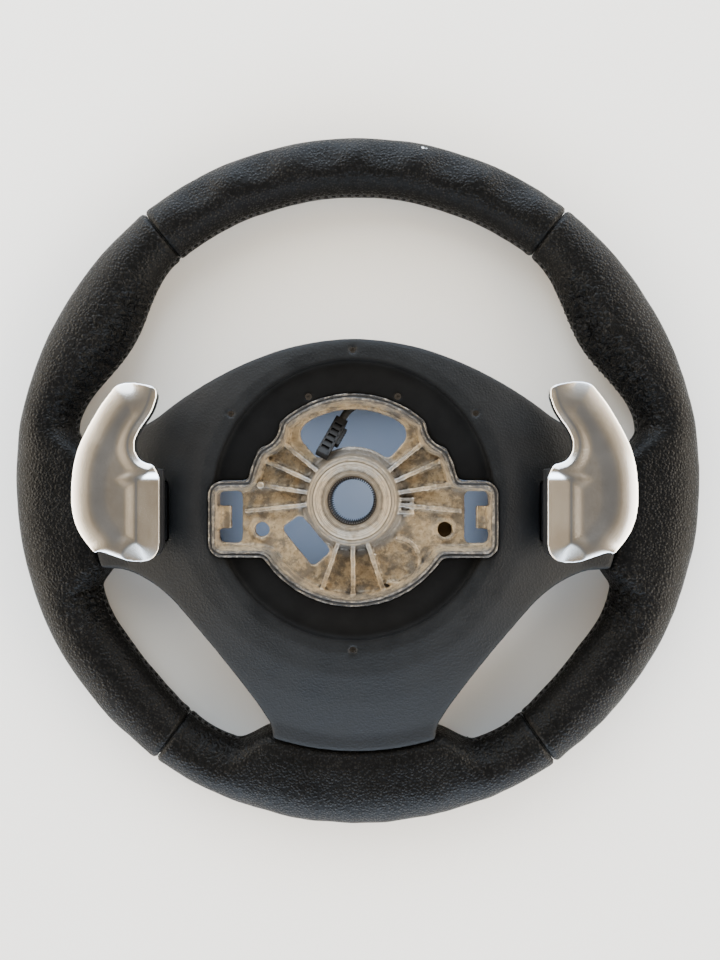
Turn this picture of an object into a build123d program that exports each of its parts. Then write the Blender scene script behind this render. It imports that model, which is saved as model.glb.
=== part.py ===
from build123d import *
import math
import os

# Leather sports steering wheel lying on its driver's side, column side up.
# Millimetres. The origin is the centre of the hub bore's mouth, +Z points along the column axis
# away from the driver, +Y to 12 o'clock and +X to the driver's left hand.
# Heights are given above the rim's middle plane and turned into Z by level().

# ---- rim ----
RIM_RADIUS = 187.5          # outside of the leather
RIM_CENTRE_Y = 9.0          # the rim's centre is above the column axis
RIM_LEVEL = -44.0           # the rim's middle plane is below the bore's mouth
TUBE_WIDTH = 29.8           # radial width of the plain rim
TUBE_HALF_HEIGHT = 15.2
LEATHER = 1.3
SKELETON_RADIUS = 172.0     # steel ring inside the foam
SKELETON_BAR = 10.0
SECTION_STEP = 7.0          # degrees between the tube's lofted sections
SEAM_GAP = 0.08             # degrees left open at each side of a seam
UPPER_SEAM = 52.0           # seam angles about the rim's centre, from +X
LOWER_SEAM = -54.3
# places where the tube is wider: centre angle, spread and extra width
THUMB_SWELL = (29.0, 27.5, 12.3)
SIDE_ROOT_SWELL = (-8.0, 24.0, 13.0)
FLANK_SWELL = (-38.0, 24.0, 4.6)
BOTTOM_ROOT_SWELL = (-90.0, 32.0, 13.0)

# ---- rear cover ----
COVER_WALL = 2.5
COVER_END_RADIUS = 143.6    # the cover stops here, about the rim's centre
COVER_FOOT = -6.0
RECESS_RADIUS = 71.0
DISC_HEIGHT = 30.0
CREST_HEIGHT = 33.5
COVER_SCREW_RADIUS = 76.0
COVER_SCREW_ANGLES = (35.2, 90.0, 144.8, 270.0)
RECESS_SCREW_AT = (22.8, 52.7)
SCREW_HEAD_RADIUS = 1.8
SCREW_SHANK_RADIUS = 1.1

# ---- hub casting ----
TRAY_RADIUS = 53.7
WING_REACH = 73.1
WING_TOP = 9.5
WING_BOTTOM = -29.0
WING_CORNER = 7.0
NOTCH_ANGLE = 38.0
NOTCH_CENTRE = 61.0
NOTCH_RADIUS = 11.0
FLOOR_UNDER = 22.0
FLOOR_TOP = 26.0
LIP_TOP = 36.0
LIP_WIDTH = 3.0
BOWL_TAPER = 14.0
BORE_RADIUS = 11.4
BORE_FOOT = 18.0
BOSS_FOOT_RADIUS = 25.8
RIB_WIDTH = 2.2
UPPER_RIBS = ((39.0, 45.5), (24.0, 50.0), (9.0, 50.0), (-6.0, 56.0))   # angle, outer end radius
LOWER_RIBS = ((251.0, 51.0), (270.0, 51.5), (288.5, 51.0))
RELEASE_HOLE_AT = (47.2, -15.4)
RELEASE_HOLE_RADIUS = 3.9
ARM_CENTRE_Y = -6.0
ARM_WIDTH = 22.0
ARM_CLEARANCE = 0.4

# ---- front ----
TRIM_FRONT = -9.0
TRIM_WALL = 3.0
AIRBAG_HALF_WIDTH = 80.0
AIRBAG_HALF_HEIGHT = 71.0
POD_CENTRE = (106.0, 0.0)
POD_SIZE = (40.0, 38.0)
POD_FRONT = -12.0
POD_BACK = 0.0
KEY_FRONT = -13.2
KEY_GAP = 0.5
ROCKER_X = 95.5
ROCKER_SIZE = (12.0, 24.0)
BUTTON_AT = (114.0, 9.0)
BUTTON_SIZE = 11.0
ROLLER_AT = (114.0, -8.0)
ROLLER_RADIUS = 5.0
ROLLER_WIDTH = 7.0
ROLLER_LEVEL = -8.4
KEY_PIN_RADIUS = 1.0
RUNNING_GAP = 0.05

# ---- paddle unit ----
PIVOT_X = 103.0
PIVOT_HEIGHT = 30.0
PIVOT_RADIUS = 1.5
HOUSING_SEAT = 17.0
HOUSING_X = (96.5, 114.5)
HOUSING_Y = (-21.0, 9.0)
HOUSING_TOP = 26.5
EAR_WIDTH = 3.8
CARRIER_UNDER = 34.0
BLADE_UNDER = 37.0
BLADE_TOP = 43.0

# ---- lead and plug ----
LEAD_DIAMETER = 4.0
LOOM_DIAMETER = 4.4
PLUG_TOP_END = (-6.3, 41.2, 21.5)        # where the lead enters the plug, height above the rim plane
PLUG_DIRECTION = (-0.41, -0.785, 0.46)
PLUG_LENGTH = 23.5
PLUG_WIDTH = 6.6
PLUG_THICKNESS = 5.4
# the lead's route, from the clip to the plug
LEAD_ROUTE = (
    (24.7, 47.0, 16.0),
    (18.5, 50.5, 16.0),
    (11.5, 52.1, 16.0),
    (4.8, 51.3, 16.3),
    (-0.6, 48.7, 17.3),
    (-4.25, 45.1, 19.2),
    (-6.3, 41.2, 21.5),
)
# the loom that the casting's underside holds, from the control module to the clip
LOOM_ROUTE = (
    (20.0, -47.0, 16.0),
    (30.0, -40.0, 17.0),
    (35.5, -27.0, 18.0),
    (37.0, -12.0, 18.6),
    (38.5, 4.0, 18.6),
    (38.0, 20.0, 18.4),
    (36.5, 32.0, 17.6),
    (31.0, 41.5, 16.6),
)


def level(height):
    """Z of a height above the rim's middle plane."""
    return RIM_LEVEL + height


def raised(points):
    """Points whose third value is a height above the rim's middle plane, as vectors."""
    return [Vector(x, y, level(height)) for x, y, height in points]


def save(part, name):
    part.label = name
    export_step(part, f"parts/{name}.step")


def other_side(part):
    """The same piece on the driver's right, a mirror image about the YZ plane."""
    with BuildPart() as copy:
        mirror(part, about=Plane.YZ)
    return copy.part


# ---------------------------------------------------------------- rim

def swell(angle, place):
    centre, spread, depth = place
    away = abs(angle - centre)
    return depth * math.cos(math.pi / 2 * away / spread) ** 2 if away < spread else 0.0


def tube_width(angle):
    """Radial width of the rim at an angle about its centre; both halves are alike."""
    half = math.degrees(math.asin(math.sin(math.radians(angle))))
    places = (THUMB_SWELL, SIDE_ROOT_SWELL, FLANK_SWELL, BOTTOM_ROOT_SWELL)
    return TUBE_WIDTH + sum(swell(half, place) for place in places)


def rim_tube(start, stop, inset):
    """A stretch of the rim between two angles, its surface set in by inset."""
    steps = round((stop - start) / SECTION_STEP)
    with BuildPart() as tube:
        for step in range(steps + 1):
            angle = start + (stop - start) * step / steps
            width = tube_width(angle)
            out = Vector(math.cos(math.radians(angle)), math.sin(math.radians(angle)), 0)
            along = Vector(-out.Y, out.X, 0)
            middle = Vector(0, RIM_CENTRE_Y, RIM_LEVEL) + out * (RIM_RADIUS - width / 2)
            with BuildSketch(Plane(middle, x_dir=out, z_dir=along)):
                Ellipse(width / 2 - inset, TUBE_HALF_HEIGHT - inset)
        loft()
    return tube.part


def seams():
    """Start and stop angle of the four leather panels."""
    return {
        "leather_top": (UPPER_SEAM, 180 - UPPER_SEAM),
        "leather_right": (180 - UPPER_SEAM, 180 - LOWER_SEAM),
        "leather_bottom": (180 - LOWER_SEAM, 360 + LOWER_SEAM),
        "leather_left": (LOWER_SEAM, UPPER_SEAM),
    }


def make_leather(start, stop, arms):
    with BuildPart() as leather:
        add(rim_tube(start + SEAM_GAP, stop - SEAM_GAP, 0))
        add(rim_tube(start + SEAM_GAP, stop - SEAM_GAP, LEATHER), mode=Mode.SUBTRACT)
        add(arms, mode=Mode.SUBTRACT)
    return leather.part


def make_rim_skeleton():
    with BuildPart() as rim_skeleton:
        with Locations((0, RIM_CENTRE_Y, RIM_LEVEL)):
            Torus(SKELETON_RADIUS, SKELETON_BAR / 2)
    return rim_skeleton.part


def make_rim_foam(skeleton, arms):
    with BuildPart() as rim_foam:
        for start, stop in seams().values():
            add(rim_tube(start, stop, LEATHER))
        add(skeleton, mode=Mode.SUBTRACT)
        add(arms, mode=Mode.SUBTRACT)
    return rim_foam.part


# ---------------------------------------------------------------- hub casting

def tray_plan(grow):
    """Outline of the hub tray: a disc with a wing to each side and a notch at each shoulder."""
    with BuildSketch() as plan:
        Circle(TRAY_RADIUS)
        with Locations((0, (WING_TOP + WING_BOTTOM) / 2)):
            RectangleRounded(2 * WING_REACH, WING_TOP - WING_BOTTOM, WING_CORNER)
        for side in (1, -1):
            notch = math.radians(NOTCH_ANGLE)
            with Locations((side * NOTCH_CENTRE * math.cos(notch), NOTCH_CENTRE * math.sin(notch))):
                Circle(NOTCH_RADIUS, mode=Mode.SUBTRACT)
        corners = plan.vertices().filter_by(lambda v: abs(math.hypot(v.X, v.Y) - TRAY_RADIUS) < 0.01)
        fillet(corners, radius=4.5)
        if grow:
            offset(amount=grow)
    return plan.sketch


def side_arm(clearance):
    """The +X spoke arm, from the tray's wing out to the steel ring."""
    top = ((71.5, 26.3), (88, 24.6), (105, 20), (125, 13), (145, 6), (168, 4.5))
    under = ((168, -5), (145, -3.5), (125, 3), (105, 8), (88, 12.5), (71.5, 16))
    with BuildPart() as arm:
        with BuildSketch(Plane.XZ.offset(-ARM_CENTRE_Y)):
            Polygon(*[(x, level(height)) for x, height in top + under], align=None)
            if clearance:
                offset(amount=clearance)
        extrude(amount=ARM_WIDTH / 2 + clearance, both=True)
    return arm.part


def bottom_arm(clearance):
    """The 6 o'clock spoke arm."""
    top = ((-52.5, 26), (-66, 24.5), (-90, 22), (-112, 15), (-134, 6), (-160, 4.5))
    under = ((-160, -5), (-134, -3.5), (-112, 4), (-90, 11), (-66, 15), (-52.5, 17))
    with BuildPart() as arm:
        with BuildSketch(Plane.YZ):
            Polygon(*[(y, level(height)) for y, height in top + under], align=None)
            if clearance:
                offset(amount=clearance)
        extrude(amount=15 + clearance, both=True)
    return arm.part


def spoke_arms(clearance):
    with BuildPart() as arms:
        add(side_arm(clearance))
        add(other_side(side_arm(clearance)))
        add(bottom_arm(clearance))
    return arms.part


def radial_plane(angle):
    """A vertical plane through the hub axis; its X runs outward at the angle and its Y is +Z."""
    turn = math.radians(angle)
    across = (math.sin(turn), -math.cos(turn), 0)
    return Plane((0, 0, 0), x_dir=(math.cos(turn), math.sin(turn), 0), z_dir=across)


def kidney_plan():
    """The large window above the boss."""
    inner, outer, half_sweep = 27.4, 46.8, 41.5
    with BuildSketch() as plan:
        with BuildLine():
            low = CenterArc((0, 0), inner, 90 - half_sweep, 2 * half_sweep)
            high = CenterArc((0, 0), outer, 90 - half_sweep, 2 * half_sweep)
            Line(low @ 0, high @ 0)
            Line(low @ 1, high @ 1)
        make_face()
        fillet(plan.vertices().group_by(Axis.Y)[-1], radius=7.5)
        fillet(plan.vertices().group_by(Axis.Y)[0], radius=3.5)
    return plan.sketch


def side_window_plan(side):
    """The C-shaped window in a wing, with its tab standing in from the outer side."""
    with BuildSketch() as plan:
        with Locations((side * 63.5, -8.95)):
            RectangleRounded(12.4, 27.1, 3)
        with Locations((side * 67.4, -9.1)):
            Rectangle(8.0, 11.8, mode=Mode.SUBTRACT)
    return plan.sketch


def lower_window_plan():
    with BuildSketch() as plan:
        Polygon((-27.2, -7.6), (-11.2, -26.4), (-20.9, -35.2), (-37.6, -14.6), align=None)
        fillet(plan.vertices(), radius=2.8)
    return plan.sketch


def make_hub_casting(skeleton):
    side_x, side_y = RELEASE_HOLE_AT
    with BuildPart() as hub_casting:
        # tray with its bowl and the groove that splits its lip in two
        with BuildSketch(Plane.XY.offset(level(FLOOR_UNDER))):
            add(tray_plan(0))
        extrude(amount=LIP_TOP - FLOOR_UNDER)
        with BuildSketch(Plane.XY.offset(level(LIP_TOP))):
            add(tray_plan(-LIP_WIDTH))
        extrude(amount=-(LIP_TOP - FLOOR_TOP), taper=BOWL_TAPER, mode=Mode.SUBTRACT)
        with BuildSketch(Plane.XY.offset(level(LIP_TOP))):
            add(tray_plan(-1.1))
            add(tray_plan(-1.9), mode=Mode.SUBTRACT)
        extrude(amount=-1.3, mode=Mode.SUBTRACT)
        # ribs fanning out from the boss
        mirrored_ribs = tuple((180 - angle, end) for angle, end in UPPER_RIBS)
        for angle, end in UPPER_RIBS + mirrored_ribs + LOWER_RIBS:
            with BuildSketch(radial_plane(angle)):
                Polygon((20, level(FLOOR_TOP - 1)), (end, level(FLOOR_TOP - 1)), (end, level(28.6)),
                        (26, level(32.5)), (20, level(33.5)), align=None)
            extrude(amount=RIB_WIDTH / 2, both=True)
        # small cast details of the floor
        with BuildSketch(Plane.XY.offset(level(FLOOR_TOP - 1))):
            with Locations((26.6, -3.1)):
                Rectangle(8.6, 8.6)
        extrude(amount=6.2)
        with BuildSketch(Plane.XY.offset(level(FLOOR_TOP + 5.2))):
            with Locations((26.6, -3.1)):
                Rectangle(5.0, 5.0)
        extrude(amount=-1.2, mode=Mode.SUBTRACT)
        with BuildSketch(Plane.XY.offset(level(FLOOR_TOP - 1))):
            with BuildLine():
                ThreePointArc((21.8, -19.4), (32.0, -24.5), (17.0, -42.0))
            trace(line_width=1.8)
        extrude(amount=3.2)
        with Locations((-47.0, 7.4, level(29))):
            Cylinder(1.8, 7)
        for side in (1, -1):
            with Locations((side * side_x, side_y, level(FLOOR_TOP))):
                Cylinder(RELEASE_HOLE_RADIUS + 2.2, 1.6)
            with Locations((side * RECESS_SCREW_AT[0], RECESS_SCREW_AT[1], level(24.4))):
                Cylinder(4, 4.8)
        # boss with a stepped funnel down to the bore
        with BuildSketch(Plane.XZ):
            with BuildLine():
                Polyline((0, level(BORE_FOOT)), (23.5, level(BORE_FOOT)), (BOSS_FOOT_RADIUS, level(24.5)),
                         (BOSS_FOOT_RADIUS, level(26.5)), (23.4, level(31.0)), (22.3, level(38.0)),
                         (21.9, level(45.6)), (20.6, level(47.6)), (19.0, level(48.0)), (17.8, level(47.0)),
                         (16.6, level(46.6)), (15.4, level(45.2)), (13.4, level(44.8)),
                         (BORE_RADIUS, level(44.0)), (0, level(44.0)), close=True)
            make_face()
        revolve(axis=Axis.Z)
        add(spoke_arms(0))
        # openings
        with Locations((0, 0, level(30))):
            Cylinder(BORE_RADIUS, 60, mode=Mode.SUBTRACT)
        with BuildSketch(Plane.XY.offset(level(10))):
            add(kidney_plan())
            add(side_window_plan(1))
            add(side_window_plan(-1))
            add(lower_window_plan())
            with Locations((side_x, side_y), (-side_x, side_y)):
                Circle(RELEASE_HOLE_RADIUS)
        extrude(amount=30, mode=Mode.SUBTRACT)
        with Locations((RECESS_SCREW_AT[0], RECESS_SCREW_AT[1], level(25)),
                       (-RECESS_SCREW_AT[0], RECESS_SCREW_AT[1], level(25))):
            Cylinder(SCREW_SHANK_RADIUS, 12, mode=Mode.SUBTRACT)
        # flat seats for the paddle housings
        for side in (1, -1):
            with Locations((side * sum(HOUSING_X) / 2, ARM_CENTRE_Y, level(HOUSING_SEAT + 5))):
                Box(HOUSING_X[1] - HOUSING_X[0] + 1, ARM_WIDTH + 4, 10, mode=Mode.SUBTRACT)
        add(skeleton, mode=Mode.SUBTRACT)
    return hub_casting.part


# ---------------------------------------------------------------- rear cover and front trim

def spoke_plan(inset):
    """Outline of the hub and its three spokes, inside the rim."""
    with BuildSketch() as plan:
        with BuildLine():
            ThreePointArc((0, 82.2), (25.0, 79.6), (49.2, 72.6))
            ThreePointArc((49.2, 72.6), (76.5, 60.0), (102.5, 43.3))
            ThreePointArc((102.5, 43.3), (125.0, 33.6), (150.0, 29.0))
            Polyline((150.0, 29.0), (150.0, -37.2), (124.0, -37.6))
            ThreePointArc((124.0, -37.6), (107.5, -43.6), (92.5, -55.0))
            ThreePointArc((92.5, -55.0), (71.0, -80.2), (50.5, -108.8))
            Polyline((50.5, -108.8), (43.6, -121.0), (43.6, -150.0), (0, -150.0))
            mirror(about=Plane.YZ)
        make_face()
        fillet(plan.vertices().filter_by(lambda v: abs(v.Y + 121.0) < 0.01), radius=14)
        with Locations((0, RIM_CENTRE_Y)):
            Circle(COVER_END_RADIUS, mode=Mode.INTERSECT)
        if inset:
            offset(amount=-inset, kind=Kind.INTERSECTION)
    return plan.sketch


def dome(drop):
    """The solid below the cover's rear surface, all of it lowered by drop."""
    edge = RECESS_RADIUS + drop
    with BuildPart() as body:
        with BuildSketch(Plane.XZ):
            with BuildLine():
                Polyline((0, level(DISC_HEIGHT - drop)), (edge, level(DISC_HEIGHT - drop)),
                         (edge, level(CREST_HEIGHT - drop)), (78, level(CREST_HEIGHT - 0.3 - drop)),
                         (90, level(30.4 - drop)), (105, level(25.4 - drop)), (125, level(18 - drop)),
                         (160, level(10 - drop)), (160, level(COVER_FOOT - 1)), (0, level(COVER_FOOT - 1)),
                         close=True)
            make_face()
        revolve(axis=Axis.Z)
    return body.part


def cover_block(inset):
    """What the spoke outline, set in by inset, holds below the dome lowered by inset."""
    with BuildPart() as block:
        with BuildSketch(Plane.XY.offset(level(COVER_FOOT))):
            add(spoke_plan(inset))
        extrude(amount=60)
        add(dome(inset), mode=Mode.INTERSECT)
    return block.part


def cover_screw_places():
    turns = [math.radians(angle) for angle in COVER_SCREW_ANGLES]
    return [(COVER_SCREW_RADIUS * math.cos(turn), COVER_SCREW_RADIUS * math.sin(turn)) for turn in turns]


def housing_block(grow):
    """The space of one paddle housing from its seat upward, grown all round."""
    with BuildPart() as block:
        with Locations((sum(HOUSING_X) / 2, sum(HOUSING_Y) / 2, level(HOUSING_SEAT + 10))):
            Box(HOUSING_X[1] - HOUSING_X[0] + 2 * grow, HOUSING_Y[1] - HOUSING_Y[0] + 2 * grow, 20)
    return block.part


def make_rear_cover():
    with BuildPart() as rear_cover:
        add(cover_block(0))
        add(cover_block(COVER_WALL), mode=Mode.SUBTRACT)
        # screw bosses under the crest
        with BuildSketch(Plane.XY.offset(level(22))):
            with Locations(*cover_screw_places()):
                Circle(3.4)
        extrude(amount=10)
        # opening for the tray, windows for the paddle housings, ways for the spoke arms
        with BuildSketch(Plane.XY.offset(level(20))):
            add(tray_plan(0.4))
        extrude(amount=20, mode=Mode.SUBTRACT)
        add(housing_block(0.6), mode=Mode.SUBTRACT)
        add(other_side(housing_block(0.6)), mode=Mode.SUBTRACT)
        add(spoke_arms(ARM_CLEARANCE), mode=Mode.SUBTRACT)
        # screw holes
        with BuildSketch(Plane.XY.offset(level(31))):
            with Locations(*cover_screw_places()):
                Circle(SCREW_HEAD_RADIUS)
        extrude(amount=6, mode=Mode.SUBTRACT)
        with BuildSketch(Plane.XY.offset(level(21))):
            with Locations(*cover_screw_places()):
                Circle(SCREW_SHANK_RADIUS)
        extrude(amount=12, mode=Mode.SUBTRACT)
        with BuildSketch(Plane.XY.offset(level(28.4))):
            with Locations(RECESS_SCREW_AT, (-RECESS_SCREW_AT[0], RECESS_SCREW_AT[1])):
                Circle(SCREW_HEAD_RADIUS)
        extrude(amount=6, mode=Mode.SUBTRACT)
        with BuildSketch(Plane.XY.offset(level(26))):
            with Locations(RECESS_SCREW_AT, (-RECESS_SCREW_AT[0], RECESS_SCREW_AT[1])):
                Circle(SCREW_SHANK_RADIUS)
        extrude(amount=6, mode=Mode.SUBTRACT)
    return rear_cover.part


def airbag_plan(inset):
    with BuildSketch() as plan:
        Ellipse(AIRBAG_HALF_WIDTH - inset, AIRBAG_HALF_HEIGHT - inset)
    return plan.sketch


def pod_plan(grow):
    with BuildSketch() as plan:
        with Locations(POD_CENTRE):
            RectangleRounded(POD_SIZE[0] + 2 * grow, POD_SIZE[1] + 2 * grow, 5)
    return plan.sketch


def make_front_trim():
    """Flat frame over the driver's side of the spokes, with a lip around the airbag opening."""
    with BuildPart() as front_trim:
        with BuildSketch(Plane.XY.offset(level(TRIM_FRONT))):
            add(spoke_plan(0.3))
        extrude(amount=TRIM_WALL)
        with BuildSketch(Plane.XY.offset(level(TRIM_FRONT))):
            add(airbag_plan(-TRIM_WALL))
        extrude(amount=12)
        with BuildSketch(Plane.XY.offset(level(TRIM_FRONT))):
            add(airbag_plan(0))
        extrude(amount=12, mode=Mode.SUBTRACT)
        with BuildSketch(Plane.XY.offset(level(TRIM_FRONT))):
            add(pod_plan(0.25))
            mirror(about=Plane.YZ)
        extrude(amount=TRIM_WALL, mode=Mode.SUBTRACT)
    return front_trim.part


def make_lower_spoke_insert():
    """Satin strip on the driver's side of the bottom spoke."""
    with BuildPart() as insert:
        with BuildSketch(Plane.XY.offset(level(TRIM_FRONT))):
            Polygon((-36, -84), (36, -84), (29, -126), (-29, -126), align=None)
        extrude(amount=-2.2)
        fillet(insert.edges().filter_by(Axis.Z), radius=6)
        chamfer(insert.faces().sort_by(Axis.Z)[0].edges(), length=0.8)
    return insert.part


def screw(place, top, length, head):
    """One countersunk screw, its head's top at a height above the rim plane, pointing down."""
    with BuildPart() as body:
        with Locations((place[0], place[1], level(top - head / 2))):
            Cylinder(SCREW_HEAD_RADIUS - 0.1, head)
        with Locations((place[0], place[1], level(top - head - (length - head) / 2))):
            Cylinder(SCREW_SHANK_RADIUS, length - head)
        with Locations((place[0], place[1], level(top - 0.3))):
            Box(2.2, 0.5, 0.6, mode=Mode.SUBTRACT)
            Box(0.5, 2.2, 0.6, mode=Mode.SUBTRACT)
    return body.part


def screw_group(places, top, length, head=1.2):
    with BuildPart() as group:
        for place in places:
            add(screw(place, top, length, head))
    return group.part


# ---------------------------------------------------------------- switch pods on the driver's side

def make_pod():
    with BuildPart() as pod:
        with BuildSketch(Plane.XY.offset(level(POD_FRONT))):
            add(pod_plan(0))
        extrude(amount=POD_BACK - POD_FRONT)
        fillet(pod.faces().sort_by(Axis.Z)[0].edges(), radius=1.2)
        with BuildSketch(Plane.XY.offset(level(POD_FRONT))):
            with Locations((ROCKER_X, 0)):
                Rectangle(ROCKER_SIZE[0] + 2 * KEY_GAP, ROCKER_SIZE[1] + 2 * KEY_GAP)
            with Locations(BUTTON_AT):
                Rectangle(BUTTON_SIZE + 2 * KEY_GAP, BUTTON_SIZE + 2 * KEY_GAP)
            with Locations(ROLLER_AT):
                Rectangle(ROLLER_WIDTH + 2 * KEY_GAP, 2 * ROLLER_RADIUS + 2 * KEY_GAP)
        extrude(amount=POD_BACK - POD_FRONT - 2, mode=Mode.SUBTRACT)
        with Locations((ROCKER_X, 0, level(ROLLER_LEVEL))):
            Cylinder(KEY_PIN_RADIUS, ROCKER_SIZE[0] + 5, rotation=(0, 90, 0), mode=Mode.SUBTRACT)
        with Locations((ROLLER_AT[0], ROLLER_AT[1], level(ROLLER_LEVEL))):
            Cylinder(KEY_PIN_RADIUS, ROLLER_WIDTH + 5, rotation=(0, 90, 0), mode=Mode.SUBTRACT)
    return pod.part


def make_rocker():
    with BuildPart() as rocker:
        with Locations((ROCKER_X, 0, level((KEY_FRONT - 5.6) / 2))):
            Box(ROCKER_SIZE[0], ROCKER_SIZE[1], -5.6 - KEY_FRONT)
        fillet(rocker.faces().sort_by(Axis.Z)[0].edges(), radius=0.9)
        with Locations((ROCKER_X, 0, level(ROLLER_LEVEL))):
            Cylinder(KEY_PIN_RADIUS + RUNNING_GAP, ROCKER_SIZE[0] + 2, rotation=(0, 90, 0),
                     mode=Mode.SUBTRACT)
    return rocker.part


def make_button():
    with BuildPart() as button:
        with Locations((BUTTON_AT[0], BUTTON_AT[1], level((KEY_FRONT - 4.0) / 2))):
            Box(BUTTON_SIZE, BUTTON_SIZE, -4.0 - KEY_FRONT)
        fillet(button.edges().filter_by(Axis.Z), radius=1.2)
        fillet(button.faces().sort_by(Axis.Z)[0].edges(), radius=0.8)
    return button.part


def make_roller():
    """Thumb roller with shallow grip grooves all round."""
    grooves = 18
    with BuildPart() as roller:
        with BuildSketch(Plane.YZ.offset(ROLLER_AT[0] - ROLLER_WIDTH / 2)):
            with Locations((ROLLER_AT[1], level(ROLLER_LEVEL))):
                Circle(ROLLER_RADIUS)
                with PolarLocations(ROLLER_RADIUS + 0.1, grooves):
                    Circle(0.45, mode=Mode.SUBTRACT)
                Circle(KEY_PIN_RADIUS + RUNNING_GAP, mode=Mode.SUBTRACT)
        extrude(amount=ROLLER_WIDTH)
    return roller.part


def make_key_pins():
    """The rocker's pin and the roller's axle, fast in the pod."""
    with BuildPart() as pins:
        with Locations((ROCKER_X, 0, level(ROLLER_LEVEL))):
            Cylinder(KEY_PIN_RADIUS, ROCKER_SIZE[0] + 5, rotation=(0, 90, 0))
        with Locations((ROLLER_AT[0], ROLLER_AT[1], level(ROLLER_LEVEL))):
            Cylinder(KEY_PIN_RADIUS, ROLLER_WIDTH + 5, rotation=(0, 90, 0))
    return pins.part


# ---------------------------------------------------------------- paddle unit

def blade_plan():
    """Outline of a paddle: a wide pad with a horn that rises and leans outward."""
    with BuildSketch() as plan:
        with BuildLine():
            flank = Spline((132.4, -22.3), (139.4, -9.5), (140.6, 8.0), (136.8, 27.1), (127.6, 44.6),
                           (119.3, 56.0), tangents=[(0.66, 0.75), (-0.62, 0.78)])
            crown = Spline(flank @ 1, (113.6, 58.6), (101.0, 57.4), tangents=[(-0.62, 0.78), (-1, -0.16)])
            tip = Spline(crown @ 1, (97.2, 54.3), (97.6, 50.0), tangents=[(-1, -0.16), (0.25, -1)])
            throat = Spline(tip @ 1, (102.0, 40.5), (107.0, 33.0), (108.3, 25.6), (105.8, 20.6),
                            (100.6, 18.2), tangents=[(0.25, -1), (-1, -0.2)])
            shoulder = Spline(throat @ 1, (97.8, 15.5), (96.8, 10.9), tangents=[(-1, -0.2), (0, -1)])
            Line(shoulder @ 1, (96.8, -19.0))
            Spline((96.8, -19.0), (97.8, -26.0), (101.0, -29.7), (105.5, -30.8), (118.0, -28.1),
                   (127.0, -25.7), flank @ 0, tangents=[(0, -1), (0.66, 0.75)])
        make_face()
    return plan.sketch


def make_blade():
    with BuildPart() as blade:
        with BuildSketch(Plane.XY.offset(level(BLADE_UNDER))):
            add(blade_plan())
        extrude(amount=BLADE_TOP - BLADE_UNDER)
        # shallow finger pocket in the face
        with BuildSketch(Plane.XY.offset(level(BLADE_TOP))):
            Polygon((128, -21), (135.4, -8), (136.4, 8), (132.4, 27), (123.4, 43), (115.5, 53), (104, 51),
                    (108, 42), (112.5, 33), (112.5, 24), (108, 15), (107, 8), (107, -26), align=None)
        extrude(amount=-1.8, mode=Mode.SUBTRACT)
    return blade.part


def make_carrier():
    """Black lever under the blade, with its knuckle on the pivot pin."""
    middle_y = sum(HOUSING_Y) / 2
    with BuildPart() as carrier:
        with BuildSketch(Plane.XY.offset(level(CARRIER_UNDER))):
            Polygon((95.4, -23), (97.2, -27), (101, -29), (106, -29.4), (129, -23.5), (137.4, -8),
                    (138, 8), (134.2, 26), (117.5, 53), (101.5, 52), (106, 41), (111, 32), (110.5, 22),
                    (105, 16.5), (95.4, 15.5), align=None)
        extrude(amount=BLADE_UNDER - CARRIER_UNDER)
        with Locations((PIVOT_X, middle_y - 4, level(PIVOT_HEIGHT))):
            Cylinder(3.0, 13.4, rotation=(90, 0, 0))
        with Locations((PIVOT_X, middle_y - 4, level((PIVOT_HEIGHT + CARRIER_UNDER) / 2 + 0.5))):
            Box(3.4, 13.4, CARRIER_UNDER - PIVOT_HEIGHT + 1)
        with Locations((PIVOT_X + 6.2, middle_y, level(CARRIER_UNDER - 1.1))):
            Box(2.4, 6, 2.6)
        with Locations((PIVOT_X, middle_y - 4, level(PIVOT_HEIGHT))):
            Cylinder(PIVOT_RADIUS + RUNNING_GAP, 20, rotation=(90, 0, 0), mode=Mode.SUBTRACT)
    return carrier.part


def make_paddle_housing():
    low_y, high_y = HOUSING_Y
    middle_x, middle_y = sum(HOUSING_X) / 2, sum(HOUSING_Y) / 2
    with BuildPart() as housing:
        with Locations((middle_x, middle_y, level((HOUSING_SEAT + HOUSING_TOP) / 2))):
            Box(HOUSING_X[1] - HOUSING_X[0], high_y - low_y, HOUSING_TOP - HOUSING_SEAT)
        fillet(housing.edges().filter_by(Axis.Z), radius=1.5)
        for ear_y in (low_y + EAR_WIDTH / 2, high_y - EAR_WIDTH / 2):
            with Locations((PIVOT_X, ear_y, level((HOUSING_TOP + PIVOT_HEIGHT) / 2))):
                Box(6, EAR_WIDTH, PIVOT_HEIGHT - HOUSING_TOP)
            with Locations((PIVOT_X, ear_y, level(PIVOT_HEIGHT))):
                Cylinder(3.0, EAR_WIDTH, rotation=(90, 0, 0))
        with Locations((PIVOT_X, middle_y, level(PIVOT_HEIGHT))):
            Cylinder(PIVOT_RADIUS, 40, rotation=(90, 0, 0), mode=Mode.SUBTRACT)
        # pocket for the microswitch and holes for the two screws
        with Locations((PIVOT_X + 6.2, middle_y, level(HOUSING_TOP - 2.5))):
            Box(6.0, 13.4, 5.2, mode=Mode.SUBTRACT)
        for place in paddle_screw_places():
            with Locations((place[0], place[1], level(HOUSING_SEAT + 4))):
                Cylinder(SCREW_SHANK_RADIUS, 12, mode=Mode.SUBTRACT)
            with Locations((place[0], place[1], level(HOUSING_TOP))):
                Cylinder(SCREW_HEAD_RADIUS, 3.0, mode=Mode.SUBTRACT)
    return housing.part


def paddle_screw_places():
    x = HOUSING_X[0] + 2.6
    return [(x, sum(HOUSING_Y) / 2 - 7.5), (x, sum(HOUSING_Y) / 2 + 7.5)]


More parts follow.
